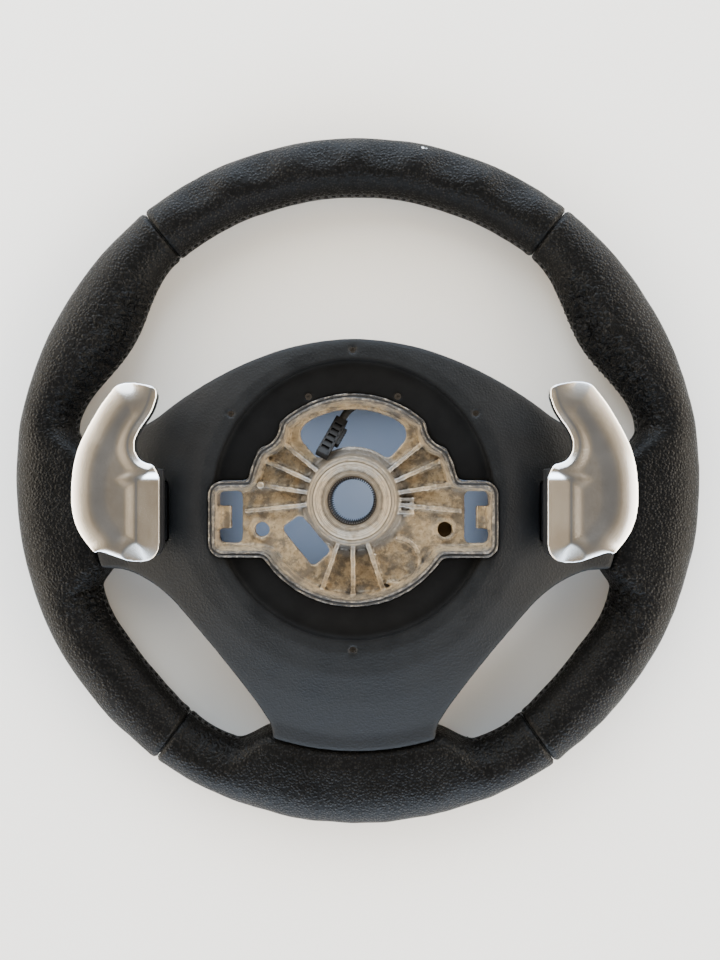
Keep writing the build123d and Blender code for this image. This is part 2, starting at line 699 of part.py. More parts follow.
def make_microswitch():
    middle_y = sum(HOUSING_Y) / 2
    with BuildPart() as microswitch:
        with Locations((PIVOT_X + 6.2, middle_y, level(HOUSING_TOP - 1.6))):
            Box(5.6, 13.0, 7.0)
        with Locations((PIVOT_X + 6.2, middle_y, level(HOUSING_TOP + 2.9))):
            Box(1.6, 2.4, 2.4)
    return microswitch.part


def make_return_spring():
    """Torsion spring around the pin, beside the knuckle, its legs on housing and lever."""
    start_y = sum(HOUSING_Y) / 2 + 3.6
    coil_radius, wire, pitch, turns = 2.35, 0.4, 1.25, 4.5
    with BuildPart() as spring:
        with BuildLine():
            coil = Helix(pitch=pitch, height=pitch * turns, radius=coil_radius,
                         center=(PIVOT_X, start_y, level(PIVOT_HEIGHT)), direction=(0, 1, 0))
        with BuildSketch(Plane(coil @ 0, z_dir=coil % 0)):
            Circle(wire)
        sweep(path=coil, is_frenet=True)
        # one leg reaches up to the lever, the other down to the housing
        with Locations((coil @ 0) + Vector(0, 0, 0.7)):
            Cylinder(wire, 1.4)
        with Locations((coil @ 1) - Vector(0, 0, 0.5)):
            Cylinder(wire, 1.0)
    return spring.part


def make_pivot_pin():
    with BuildPart() as pin:
        with Locations((PIVOT_X, sum(HOUSING_Y) / 2, level(PIVOT_HEIGHT))):
            Cylinder(PIVOT_RADIUS, HOUSING_Y[1] - HOUSING_Y[0], rotation=(90, 0, 0))
    return pin.part


# ---------------------------------------------------------------- what the airbag bay holds

MODULE_CENTRE = (0, -48.5)
MODULE_SIZE = (42.0, 17.0)
MODULE_HEIGHTS = (9.5, 14.4)


def make_module_case():
    """Tray of the control module, open towards the driver and closed by its lid."""
    low, high = MODULE_HEIGHTS
    with BuildPart() as case:
        with Locations((MODULE_CENTRE[0], MODULE_CENTRE[1], level((low + high) / 2))):
            Box(MODULE_SIZE[0], MODULE_SIZE[1], high - low)
        with Locations((MODULE_CENTRE[0], MODULE_CENTRE[1], level((low + high) / 2 - 0.8))):
            Box(MODULE_SIZE[0] - 3, MODULE_SIZE[1] - 3, high - low, mode=Mode.SUBTRACT)
    return case.part


def make_module_lid():
    low = MODULE_HEIGHTS[0]
    with BuildPart() as lid:
        with Locations((MODULE_CENTRE[0], MODULE_CENTRE[1], level(low - 0.8))):
            Box(MODULE_SIZE[0], MODULE_SIZE[1], 1.6)
        fillet(lid.edges().filter_by(Axis.Z), radius=1.5)
        with Locations((MODULE_CENTRE[0], MODULE_CENTRE[1], level(low - 1.6))):
            with GridLocations(6, 0, 5, 1):
                Box(1.2, 10, 0.8, mode=Mode.SUBTRACT)
    return lid.part


def make_circuit_board():
    low, high = MODULE_HEIGHTS
    with BuildPart() as board:
        with Locations((MODULE_CENTRE[0], MODULE_CENTRE[1], level(high - 2.6))):
            Box(MODULE_SIZE[0] - 3.6, MODULE_SIZE[1] - 3.6, 1.2)
        with Locations((MODULE_CENTRE[0] - 8, MODULE_CENTRE[1], level(high - 3.7))):
            Box(9, 9, 1.2)
        with Locations((MODULE_CENTRE[0] + 8, MODULE_CENTRE[1], level(high - 3.7))):
            Box(5, 7, 1.2)
    return board.part


def make_horn_contact():
    """Brass contact under the release hole on the driver's left, on a spring strip."""
    x, y = RELEASE_HOLE_AT
    with BuildPart() as contact:
        with Locations((x, y, level(17.4))):
            Cylinder(4.6, 2.4)
        with Locations((x, y + 7.5, level(18.0))):
            Box(5, 13, 1.2)
        with Locations((x, y + 14.5, level(19.8))):
            Box(5, 2, 4.4)
    return contact.part


def make_retaining_springs():
    """Two bent wires in front of the tray floor that hold the airbag's hooks."""
    with BuildPart() as springs:
        for side in (1, -1):
            x = side * 54.2
            with BuildLine():
                route = FilletPolyline((x, -27, level(21)), (x, -27, level(16.4)), (x, 8, level(16.4)),
                                       (x, 8, level(21)), radius=1.8)
            with BuildSketch(Plane(route @ 0, z_dir=route % 0)):
                Circle(0.9)
            sweep(path=route)
        with Locations((0, 0, level(21.4))):
            with Locations((54.2, -27, 0), (54.2, 8, 0), (-54.2, -27, 0), (-54.2, 8, 0)):
                Cylinder(1.6, 1.2)
    return springs.part


def cable(points, diameter, name):
    """A round cable along straight runs joined by arcs as large as the runs allow."""
    radii = []
    for before, corner, after in zip(points, points[1:], points[2:]):
        turn = math.radians((corner - before).get_angle(after - corner))
        shorter = min((corner - before).length, (after - corner).length)
        radii.append(0.45 * shorter / math.tan(turn / 2))
    with BuildPart() as tube:
        with BuildLine():
            route = FilletPolyline(*points, radius=radii)
        with BuildSketch(Plane(route @ 0, z_dir=route % 0)):
            Circle(diameter / 2)
        sweep(path=route)
    expected = math.pi * diameter ** 2 / 4 * route.length
    print(name, "length", round(route.length, 2), "radii", [round(radius, 1) for radius in radii],
          "volume ratio", round(tube.part.volume / expected, 4))
    return tube.part


def make_harness_clip():
    """Clip on the tray's underside; the loom ends in it and the free lead leaves it."""
    clip_x, clip_y, clip_height = LEAD_ROUTE[0]
    end_x, end_y, end_height = LOOM_ROUTE[-1]
    with BuildPart() as clip:
        place = Vector((clip_x + end_x) / 2, (clip_y + end_y) / 2, level(clip_height + 0.3))
        run = Vector(clip_x - end_x, clip_y - end_y, 0)
        with BuildSketch(Plane(place, x_dir=(0, 0, 1), z_dir=run.normalized())):
            RectangleRounded(7.4, 7.6, 2)
        extrude(amount=run.length / 2, both=True)
        with Locations(place + Vector(0, 0, 3.4)):
            Cylinder(1.6, 4.6)
    return clip.part


def plug_plane(along):
    """Plane across the plug, a distance along it from the end where the lead enters."""
    start = raised([PLUG_TOP_END])[0]
    heading = Vector(*PLUG_DIRECTION).normalized()
    side = heading.cross(Vector(0, 0, 1)).normalized()
    return Plane(start + heading * along, x_dir=side, z_dir=heading)


def make_plug_housing():
    with BuildPart() as plug:
        with BuildSketch(plug_plane(0)):
            RectangleRounded(PLUG_WIDTH, PLUG_THICKNESS, 0.8)
        extrude(amount=PLUG_LENGTH)
        # slots across the upper face and the mating mouth
        for step in range(5):
            with Locations(plug_plane(6.5 + 3.6 * step)):
                with Locations((0.4, PLUG_THICKNESS / 2, 0)):
                    Box(4.2, 2.0, 1.8, mode=Mode.SUBTRACT)
        with BuildSketch(plug_plane(PLUG_LENGTH)):
            Rectangle(PLUG_WIDTH - 2.2, PLUG_THICKNESS - 2.6)
        extrude(amount=-2.0, mode=Mode.SUBTRACT)
    return plug.part


def make_plug_latch():
    """Latch bulge on the side of the plug."""
    with BuildPart() as latch:
        with BuildSketch(plug_plane(4.0)):
            with Locations((-PLUG_WIDTH / 2 - 0.9, 0)):
                Rectangle(1.8, 3.6)
        extrude(amount=11)
        fillet(latch.edges().filter_by(lambda edge: edge.length < 2.0), radius=0.7)
    return latch.part


def make_plug_terminals():
    with BuildPart() as terminals:
        with BuildSketch(plug_plane(PLUG_LENGTH - 2.0)):
            with GridLocations(1.1, 0, 4, 1):
                Rectangle(0.5, 0.5)
        extrude(amount=1.6)
    return terminals.part


# ---------------------------------------------------------------- assembly

def main():
    os.makedirs("parts", exist_ok=True)
    skeleton = make_rim_skeleton()
    arms = spoke_arms(ARM_CLEARANCE)
    save(skeleton, "rim_skeleton")
    save(make_rim_foam(skeleton, arms), "rim_foam")
    for name, (start, stop) in seams().items():
        save(make_leather(start, stop, arms), name)
    save(make_hub_casting(skeleton), "hub_casting")
    save(make_rear_cover(), "rear_cover")
    save(make_front_trim(), "front_trim")
    save(make_lower_spoke_insert(), "lower_spoke_insert")
    save(screw_group(cover_screw_places(), 32.2, 8), "cover_screws")
    recess_places = [RECESS_SCREW_AT, (-RECESS_SCREW_AT[0], RECESS_SCREW_AT[1])]
    save(screw_group(recess_places, 29.6, 6.6), "recess_screws")
    places = paddle_screw_places()
    save(screw_group(places + [(-x, y) for x, y in places], HOUSING_TOP - 0.5, 8.6), "paddle_housing_screws")
    for side, make in (("left", lambda part: part), ("right", other_side)):
        save(make(make_pod()), f"{side}_switch_pod")
        save(make(make_rocker()), f"{side}_rocker")
        save(make(make_button()), f"{side}_button")
        save(make(make_roller()), f"{side}_roller")
        save(make(make_key_pins()), f"{side}_key_pins")
    for side, make in (("downshift", lambda part: part), ("upshift", other_side)):
        save(make(make_blade()), f"{side}_blade")
        save(make(make_carrier()), f"{side}_carrier")
        save(make(make_paddle_housing()), f"{side}_housing")
        save(make(make_microswitch()), f"{side}_microswitch")
        save(make(make_return_spring()), f"{side}_return_spring")
        save(make(make_pivot_pin()), f"{side}_pivot_pin")
    save(make_module_case(), "module_case")
    save(make_module_lid(), "module_lid")
    save(make_circuit_board(), "circuit_board")
    save(make_horn_contact(), "horn_contact")
    save(make_retaining_springs(), "airbag_retaining_springs")
    save(cable(raised(LOOM_ROUTE), LOOM_DIAMETER, "loom"), "harness_loom")
    save(cable(raised(LEAD_ROUTE), LEAD_DIAMETER, "lead"), "plug_lead")
    save(make_harness_clip(), "harness_clip")
    save(make_plug_housing(), "plug_housing")
    save(make_plug_latch(), "plug_latch")
    save(make_plug_terminals(), "plug_terminals")


main()
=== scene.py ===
import math

import bmesh
import bpy
import numpy as np
from mathutils import Matrix, Vector, noise


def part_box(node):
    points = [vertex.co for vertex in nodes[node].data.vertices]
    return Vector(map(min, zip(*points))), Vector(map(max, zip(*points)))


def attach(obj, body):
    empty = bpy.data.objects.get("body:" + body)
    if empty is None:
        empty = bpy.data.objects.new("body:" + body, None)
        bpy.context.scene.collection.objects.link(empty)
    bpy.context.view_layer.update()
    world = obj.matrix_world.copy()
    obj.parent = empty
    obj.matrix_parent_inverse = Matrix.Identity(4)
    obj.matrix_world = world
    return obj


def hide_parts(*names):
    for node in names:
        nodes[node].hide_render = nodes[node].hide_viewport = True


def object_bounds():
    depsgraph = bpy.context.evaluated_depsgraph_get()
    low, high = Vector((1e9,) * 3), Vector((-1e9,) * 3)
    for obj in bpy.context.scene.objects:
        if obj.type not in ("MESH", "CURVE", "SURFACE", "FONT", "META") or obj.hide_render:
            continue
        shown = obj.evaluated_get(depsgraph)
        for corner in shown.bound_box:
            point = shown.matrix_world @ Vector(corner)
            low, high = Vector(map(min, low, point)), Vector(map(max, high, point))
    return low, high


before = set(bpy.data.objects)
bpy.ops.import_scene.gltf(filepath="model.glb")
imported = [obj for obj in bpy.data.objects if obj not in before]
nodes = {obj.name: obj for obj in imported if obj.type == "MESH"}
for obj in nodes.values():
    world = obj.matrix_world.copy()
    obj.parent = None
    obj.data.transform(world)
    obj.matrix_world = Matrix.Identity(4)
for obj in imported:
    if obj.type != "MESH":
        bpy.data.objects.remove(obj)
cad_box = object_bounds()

# Looks of the sports steering wheel. It lies on its driver's side, column side up, as in the frame.
# Lengths below are in millimetres and MM turns them into the frame's metres.
MM = 0.001


def box_mm(node):
    """Lowest corner, highest corner and middle of a CAD node, in millimetres."""
    low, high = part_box(node)
    return low / MM, high / MM, (low + high) / (2 * MM)


# ---- driving dimensions: read from the frame, or as in the CAD where no node's box gives them ----
RIM_CENTRE = box_mm("rim_skeleton")[2]
RIM_RADIUS = box_mm("leather_left")[1].x
TUBE_WIDTH = 29.8          # the free rim, across its section
TUBE_HALF_HEIGHT = box_mm("leather_left")[1].z - RIM_CENTRE.z
LEATHER = 1.3
UPPER_SEAM = 52.0          # angles of the seams between the leather panels, in degrees
LOWER_SEAM = -54.3
COVER_END_RADIUS = 143.9   # the ends of the cover's spokes, from the rim's centre
RECESS_RADIUS = 71.0
TRAY_FLOOR_LEVEL = RIM_CENTRE.z + 26.0
LIP_LEVEL = RIM_CENTRE.z + 36.0
BORE_RADIUS = 11.4
FLOOR_LEVEL = cad_box[0][2] / MM


def link(thing):
    bpy.context.scene.collection.objects.link(thing)
    return thing


# ---------------------------------------------------------------- camera, light and floor

CAMERA_PLACE, CAMERA_TARGET = (0.01132, 0.01131, 0.3533), (0.00294, 0.01001, -0.044)   # metres
FOCAL_LENGTH, SENSOR_WIDTH = 27.0, 36.0
ROOM_STRENGTH = 11.5
# colour of the room by height, from the horizon at 0 to the zenith at 1
ROOM_BY_HEIGHT = (
    (0.0, (0.88, 0.94, 1.0)), (0.20, (1.0, 1.03, 1.08)), (0.45, (0.93, 0.91, 0.87)),
    (0.60, (0.10, 0.088, 0.070)), (0.82, (0.036, 0.031, 0.024)), (1.0, (0.0125, 0.0122, 0.0118)),
)
COOL_ENDS, WARM_SIDES = (0.80, 0.93, 1.12), (1.06, 0.93, 0.76)
# darker uprights on the warm sides, like window frames, by the square of the direction's X
WINDOW_FRAMES = (
    (0.0, 1.0), (0.16, 1.0), (0.24, 0.35), (0.31, 1.1),
    (0.38, 1.1), (0.46, 0.30), (0.55, 1.1), (0.7, 1.0),
)
FLOOR_HALF_SIZE = 4.0      # metres


def look(thing, place, target, roll_up=(0, 1, 0)):
    """Puts a camera or light at a place in metres, -Z towards the target and Y near roll_up."""
    ahead = (Vector(target) - Vector(place)).normalized()
    right = ahead.cross(Vector(roll_up)).normalized()
    up = right.cross(ahead)
    turn = Matrix((right, up, -ahead)).transposed().to_4x4()
    thing.matrix_world = Matrix.Translation(Vector(place)) @ turn


def make_camera():
    data = bpy.data.cameras.new("camera")
    data.lens = FOCAL_LENGTH
    data.sensor_width = SENSOR_WIDTH
    camera = link(bpy.data.objects.new("camera", data))
    look(camera, CAMERA_PLACE, CAMERA_TARGET)
    bpy.context.scene.camera = camera


def area_light(name, place, size, power, colour, target=(0, 0, -0.02)):
    data = bpy.data.lights.new(name, "AREA")
    data.shape = "RECTANGLE"
    data.size, data.size_y = size
    data.energy = power
    data.color = colour
    look(link(bpy.data.objects.new(name, data)), place, target, (0, 1, 0.01))


def make_lights():
    """A room that is bright at its sides, warm left and right, cool front and back, dim overhead."""
    world = bpy.data.worlds.new("studio")
    world.use_nodes = True
    bpy.context.scene.world = world
    room = Nodes(world.node_tree, "Generated")
    by_height = room.ramp(room.coordinate("Z"), *ROOM_BY_HEIGHT, interpolation="B_SPLINE")
    x_square, y_square = [room.times(room.coordinate(axis), room.coordinate(axis)) for axis in "XY"]
    warmth = room.range(room.math("SUBTRACT", x_square, y_square), -0.30, 0.30)
    tinted = room.mix(1.0, by_height, room.mix(warmth, COOL_ENDS, WARM_SIDES), "MULTIPLY")
    uprights = room.ramp(x_square, *WINDOW_FRAMES, interpolation="B_SPLINE")
    background = world.node_tree.nodes["Background"]
    room.put(room.mix(1.0, tinted, uprights, "MULTIPLY"), background.inputs["Color"])
    room.put(ROOM_STRENGTH, background.inputs["Strength"])
    area_light("sky_panel", (-0.35, 0.85, 0.75), (1.2, 0.7), 12.0, (0.90, 0.96, 1.0))
    area_light("side_panel", (1.0, -0.25, 0.5), (0.5, 0.9), 5.0, (1.0, 0.96, 0.90))
    # lights the floor that shows through the hub's windows
    area_light("window_glow", (0, 0.004, -0.046), (0.14, 0.085), 0.017, (0.42, 0.60, 0.95),
               (0, 0.004, -0.3))


def make_floor():
    mesh = bpy.data.meshes.new("floor")
    signs = ((-1, -1), (1, -1), (1, 1), (-1, 1))
    corners = [(x * FLOOR_HALF_SIZE, y * FLOOR_HALF_SIZE, FLOOR_LEVEL * MM) for x, y in signs]
    mesh.from_pydata(corners, [], [(0, 1, 2, 3)])
    floor = link(bpy.data.objects.new("floor", mesh))
    paint = Paint("pale_floor")
    soft = paint.noise(3.0, 3, 0.5)
    colour = paint.ramp(soft, (0.35, (0.84, 0.83, 0.80)), (0.7, (0.88, 0.87, 0.845)))
    paint.set(colour=colour, roughness=0.7, specular=0.15)
    mesh.materials.append(paint.material)


# ---------------------------------------------------------------- materials

class Nodes:
    """Short ways to add the shader nodes used here to the tree of the world or of a material."""

    def __init__(self, tree, coordinates):
        self.tree = tree
        self.place = self.node("ShaderNodeTexCoord").outputs[coordinates]

    def put(self, value, socket):
        """A socket is linked, and a number, vector or colour is set."""
        if isinstance(value, bpy.types.NodeSocket):
            self.tree.links.new(value, socket)
        elif socket.type == "RGBA":
            socket.default_value = (*value, 1)
        else:
            socket.default_value = value

    def node(self, kind, inputs=None, **settings):
        made = self.tree.nodes.new(kind)
        for key, value in settings.items():
            setattr(made, key, value)
        for key, value in (inputs or {}).items():
            self.put(value, made.inputs[key])
        return made

    def noise(self, scale, detail=4.0, roughness=0.5, distortion=0.0, vector=None, output=0):
        return self.node("ShaderNodeTexNoise", {
            "Scale": scale, "Detail": detail, "Roughness": roughness, "Distortion": distortion,
            "Vector": vector or self.place,
        }).outputs[output]

    def cells(self, scale, feature="F1", vector=None, smooth=0.0):
        inputs = {"Scale": scale, "Vector": vector or self.place}
        if feature == "SMOOTH_F1":
            inputs["Smoothness"] = smooth
        return self.node("ShaderNodeTexVoronoi", inputs, feature=feature).outputs["Distance"]

    def vector_math(self, operation, first, second=(0, 0, 0), **inputs):
        return self.node("ShaderNodeVectorMath", {0: first, 1: second, **inputs}, operation=operation)

    def shaken(self, scale, amount):
        """Coordinates pushed about by a noise, so that a pattern on them looks natural."""
        wobble = self.noise(scale, 2.0, output="Color")
        centred = self.vector_math("SUBTRACT", wobble, (0.5, 0.5, 0.5))
        scaled = self.vector_math("SCALE", centred.outputs[0], Scale=amount)
        return self.vector_math("ADD", self.place, scaled.outputs[0]).outputs[0]

    def ramp(self, value, *stops, interpolation="LINEAR"):
        """A colour or grey ramp; each stop is (position, colour or grey)."""
        made = self.node("ShaderNodeValToRGB")
        ladder = made.color_ramp
        ladder.interpolation = interpolation
        while len(ladder.elements) < len(stops):
            ladder.elements.new(0.5)
        for element, (position, colour) in zip(ladder.elements, stops):
            element.position = position
            shade = colour if isinstance(colour, tuple) else (colour, colour, colour)
            element.color = (*shade, 1)
        self.put(value, made.inputs[0])
        return made.outputs["Color"]

    def mix(self, factor, first, second, kind="MIX"):
        inputs = {"Factor": factor, 6: first, 7: second}
        return self.node("ShaderNodeMix", inputs, data_type="RGBA", blend_type=kind).outputs[2]

    def math(self, operation, first, second=0.0):
        return self.node("ShaderNodeMath", {0: first, 1: second}, operation=operation).outputs[0]

    def times(self, first, second):
        return self.math("MULTIPLY", first, second)

    def range(self, value, low, high, to_low=0.0, to_high=1.0):
        """A soft step from to_low to to_high while the value goes from low to high."""
        inputs = dict(enumerate((value, low, high, to_low, to_high)))
        return self.node("ShaderNodeMapRange", inputs, interpolation_type="SMOOTHSTEP").outputs[0]

    def attribute(self, name):
        return self.node("ShaderNodeAttribute", attribute_name=name).outputs["Fac"]

    def bump(self, height, strength, distance, normal=None):
        inputs = {"Distance": distance, "Strength": strength, "Height": height}
        if normal is not None:
            inputs["Normal"] = normal
        return self.node("ShaderNodeBump", inputs).outputs[0]

    def coordinate(self, axis):
        return self.node("ShaderNodeSeparateXYZ", {0: self.place}).outputs[axis]

    def axis_distance(self):
        """Distance from the column axis, in metres."""
        flat = self.node("ShaderNodeMapping", {"Scale": (1, 1, 0), "Vector": self.place}).outputs[0]
        return self.vector_math("LENGTH", flat).outputs["Value"]


class Paint(Nodes):
    """A procedural material. Its textures read Object coordinates, the frame's metres."""

    def __init__(self, name):
        self.material = bpy.data.materials.new(name)
        self.material.use_nodes = True
        super().__init__(self.material.node_tree, "Object")

    def set(self, colour, roughness, metallic=0.0, normal=None, specular=0.5):
        shader = self.tree.nodes["Principled BSDF"]
        values = {"Base Color": colour, "Roughness": roughness, "Metallic": metallic,
                  "Specular IOR Level": specular}
        if normal is not None:
            values["Normal"] = normal
        for socket, value in values.items():
            self.put(value, shader.inputs[socket])


SCUFF_PLACE = Vector((0.0375, 0.1884, RIM_CENTRE.z * MM + 0.0118))     # a pale nick in the top panel
LEATHER_CELLS, FOLD_CELLS, COVER_CELLS = 680, 300, 820                 # grain cells to the metre


def paint_leather():
    paint = Paint("black_leather")
    natural = paint.shaken(480, 0.0013)
    pebble = paint.cells(LEATHER_CELLS, "SMOOTH_F1", natural, 0.3)
    creases = paint.cells(LEATHER_CELLS, "DISTANCE_TO_EDGE", natural)
    fine = paint.noise(3600, 3, 0.6)
    patch = paint.noise(30, 4, 0.55)
    gather = paint.attribute("gather")
    # painted shade and highlight on the grain: the creases between the cells go near-black and the
    # raised cells stay lighter
    raised = paint.range(creases, 0.10, 0.34)
    cloudy = paint.ramp(patch, (0.38, (0.0042, 0.0039, 0.0035)), (0.68, (0.0090, 0.0081, 0.0068)))
    crease_shaded_grain = paint.mix(raised, (0.0003, 0.0003, 0.0003), cloudy)
    folds = paint.cells(FOLD_CELLS, "DISTANCE_TO_EDGE", paint.shaken(190, 0.0042))
    # painted shade: near-black in the creases between the gathers' folds
    fold_crease_shade = paint.times(gather, paint.range(folds, 0.02, 0.24, 1.0, 0.0))
    colour = paint.mix(fold_crease_shade, crease_shaded_grain, (0.0001, 0.0001, 0.0001))
    away = paint.vector_math("DISTANCE", paint.shaken(420, 0.0035), SCUFF_PLACE)
    scuff = paint.range(away.outputs["Value"], 0.0011, 0.0017, 1.0, 0.0)
    colour = paint.mix(scuff, colour, (0.62, 0.68, 0.74))
    base_rough = paint.range(patch, 0.35, 0.7, 0.38, 0.46)
    rough = paint.math("ADD", base_rough, paint.range(creases, 0.0, 0.2, 0.2, 0.0))
    coarse = paint.noise(420, 4, 0.55, 0.6)
    gathers = paint.bump(paint.range(folds, 0.0, 0.32), gather, 0.0015)
    first = paint.bump(coarse, paint.range(gather, 0.0, 1.0, 0.05, 0.5), 0.0010, gathers)
    second = paint.bump(paint.range(pebble, 0.12, 0.7, 1.0, 0.0), 0.6, 0.00038, first)
    third = paint.bump(fine, 0.18, 0.00006, second)
    paint.set(colour, rough, normal=third, specular=0.10)
    return paint.material


def paint_thread():
    paint = Paint("black_thread")
    twist = paint.noise(2600, 2, 0.5)
    colour = paint.ramp(twist, (0.3, (0.008, 0.008, 0.008)), (0.7, (0.03, 0.029, 0.028)))
    paint.set(colour, 0.6, normal=paint.bump(twist, 0.5, 0.0002), specular=0.35)
    return paint.material


def paint_cover():
    """Moulded plastic: leather grain outside the recess, plain and matt on the recessed disc."""
    paint = Paint("grained_plastic")
    grained = paint.range(paint.axis_distance(), (RECESS_RADIUS + 0.2) * MM, (RECESS_RADIUS + 1.8) * MM)
    natural = paint.shaken(420, 0.0012)
    creases = paint.cells(COVER_CELLS, "DISTANCE_TO_EDGE", natural)
    pebble = paint.cells(COVER_CELLS, "SMOOTH_F1", natural, 0.4)
    wrinkle = paint.noise(520, 4, 0.6, 0.8)
    dust = paint.noise(45, 5, 0.6)
    domes = paint.range(pebble, 0.1, 0.7, 0.7, 0.0)
    height = paint.math("ADD", domes, paint.times(wrinkle, 0.7))
    base = paint.ramp(dust, (0.35, (0.0042, 0.0047, 0.0051)), (0.7, (0.0072, 0.0078, 0.0083)))
    # painted shade: the grain's creases are darker than its cells
    crease_shade_colour = paint.mix(0.4, base, (0.003, 0.003, 0.004))
    lit = paint.mix(paint.range(creases, 0.0, 0.2), crease_shade_colour, base)
    cloud = paint.noise(90, 5, 0.65)
    disc = paint.ramp(cloud, (0.3, (0.0034, 0.0035, 0.0037)), (0.75, (0.0058, 0.0060, 0.0062)))
    colour = paint.mix(grained, disc, lit)
    rough = paint.mix(grained, (0.66, 0.66, 0.66), paint.ramp(dust, (0.3, 0.46), (0.7, 0.58)))
    split = paint.node("ShaderNodeSeparateColor", {0: rough})
    strength = paint.range(grained, 0.0, 1.0, 0.02, 0.38)
    first = paint.bump(height, strength, 0.00030)
    # hair-thin mould line down the bottom spoke
    along = paint.math("ABSOLUTE", paint.math("ADD", paint.coordinate("X"), 0.0005))
    low = paint.range(paint.coordinate("Y"), -0.128, -0.112, 1.0, 0.0)
    groove = paint.times(paint.range(along, 0.0001, 0.0005, 1.0, 0.0), low)
    second = paint.bump(groove, -0.35, 0.0004, first)
    fine = paint.bump(paint.noise(2400, 2, 0.5), 0.12, 0.0001, second)
    sheen = paint.range(grained, 0.0, 1.0, 0.05, 0.12)
    paint.set(colour, split.outputs[0], normal=fine, specular=sheen)
    return paint.material


def paint_plastic(name, shade, roughness):
    paint = Paint(name)
    cloud = paint.noise(60, 4, 0.6)
    colour = paint.ramp(cloud, (0.3, tuple(0.8 * part for part in shade)), (0.75, shade))
    rough = paint.range(cloud, 0.3, 0.7, roughness - 0.04, roughness + 0.06)
    paint.set(colour, rough, normal=paint.bump(paint.noise(1800, 3, 0.6), 0.22, 0.00012), specular=0.22)
    return paint.material


def paint_casting():
    """Die-cast aluminium: golden stains in the tray, a painted highlight on convex crest lines, painted
    shade in hollow places, black residue along the lip.
    """
    paint = Paint("cast_aluminium")
    skin = paint.noise(1500, 5, 0.65)
    lumps = paint.noise(420, 4, 0.6)
    clouds = paint.noise(85, 5, 0.6, 0.5)
    streaks = paint.noise(120, 7, 0.72, 0.25)
    edge = paint.node("ShaderNodeNewGeometry").outputs["Pointiness"]
    grey = paint.ramp(skin, (0.3, (0.135, 0.120, 0.098)), (0.75, (0.27, 0.245, 0.205)))
    stain = paint.ramp(lumps, (0.3, (0.23, 0.165, 0.090)), (0.7, (0.42, 0.325, 0.200)))
    axis_distance = paint.axis_distance()
    floor_zone = paint.range(axis_distance, 0.0262, 0.0295)
    low, high = (TRAY_FLOOR_LEVEL + 1.5) * MM, (TRAY_FLOOR_LEVEL + 6.0) * MM
    low_zone = paint.range(paint.coordinate("Z"), low, high, 1.0, 0.75)
    stained_zone = paint.times(floor_zone, low_zone)
    amount = paint.times(paint.range(clouds, 0.30, 0.50), stained_zone)
    colour = paint.mix(amount, grey, stain)
    # grey-brown smears and dark specks over the stain
    smear = paint.times(paint.range(streaks, 0.45, 0.60), 0.78)
    colour = paint.mix(smear, colour, (0.085, 0.072, 0.058))
    specks = paint.times(paint.range(paint.noise(900, 3, 0.7), 0.62, 0.70), 0.75)
    colour = paint.mix(specks, colour, (0.045, 0.035, 0.025))
    # concentric turning marks on the boss
    turned = paint.node("ShaderNodeCombineXYZ", {0: axis_distance})
    marks = paint.noise(900, 3, 0.6, 0.0, turned.outputs[0])
    on_boss = paint.range(axis_distance, 0.0225, 0.0245, 1.0, 0.0)
    ringed = paint.times(paint.times(on_boss, paint.range(marks, 0.44, 0.56)), 0.75)
    tanned = paint.times(on_boss, paint.range(clouds, 0.35, 0.6, 0.45, 0.95))
    colour = paint.mix(tanned, colour, (0.225, 0.180, 0.125))
    colour = paint.mix(ringed, colour, (0.045, 0.037, 0.028))
    # a grey ring round the foot of the boss
    off_boss = paint.range(axis_distance, 0.0225, 0.0245)
    ring = paint.times(off_boss, paint.range(axis_distance, 0.0275, 0.0305, 1.0, 0.0))
    colour = paint.mix(paint.times(ring, 0.55), colour, (0.20, 0.19, 0.175))
    # painted highlight along convex crest lines and painted shade in every hollow
    crest_highlight = paint.times(paint.range(edge, 0.53, 0.60), 0.7)
    colour = paint.mix(crest_highlight, colour, (0.70, 0.68, 0.63))
    hollows = paint.times(paint.range(edge, 0.495, 0.44), 0.95)
    colour = paint.mix(hollows, colour, (0.030, 0.022, 0.014))
    # black residue in the lip's groove and on its flanks
    fray = paint.times(paint.range(streaks, 0.35, 0.65, -1.0, 1.0), 0.22)
    ragged = paint.math("ADD", paint.attribute("groove"), fray)
    lip_zone = paint.attribute("lip")
    sooty = paint.times(lip_zone, paint.range(lumps, 0.40, 0.68, 0.95, 0.55))
    colour = paint.mix(sooty, colour, (0.026, 0.022, 0.018))
    colour = paint.mix(paint.range(ragged, 0.26, 0.46), colour, (0.006, 0.005, 0.004))
    rough = paint.range(streaks, 0.3, 0.7, 0.38, 0.56)
    shiny = paint.math("SUBTRACT", 0.62, paint.times(amount, 0.40))
    metal = paint.times(shiny, paint.range(lip_zone, 0.1, 0.9, 1.0, 0.25))
    first = paint.bump(lumps, 0.32, 0.0006)
    second = paint.bump(skin, 0.5, 0.0003, first)
    paint.set(colour, rough, metallic=metal, normal=second, specular=0.4)
    return paint.material


def paint_satin(name, shade, roughness):
    """Satin metal finish: a very fine brushed skin with faint clouds."""
    paint = Paint(name)
    brushed = paint.noise(1300, 2, 0.5)
    cloud = paint.noise(35, 4, 0.55)
    colour = paint.ramp(cloud, (0.3, tuple(0.94 * part for part in shade)), (0.7, shade))
    fine_rough = paint.range(brushed, 0.3, 0.7, -0.02, 0.03)
    cloudy_rough = paint.range(cloud, 0.3, 0.7, roughness - 0.02, roughness + 0.03)
    rough = paint.math("ADD", fine_rough, cloudy_rough)
    paint.set(colour, rough, metallic=1.0, normal=paint.bump(brushed, 0.02, 0.00004))
    return paint.material


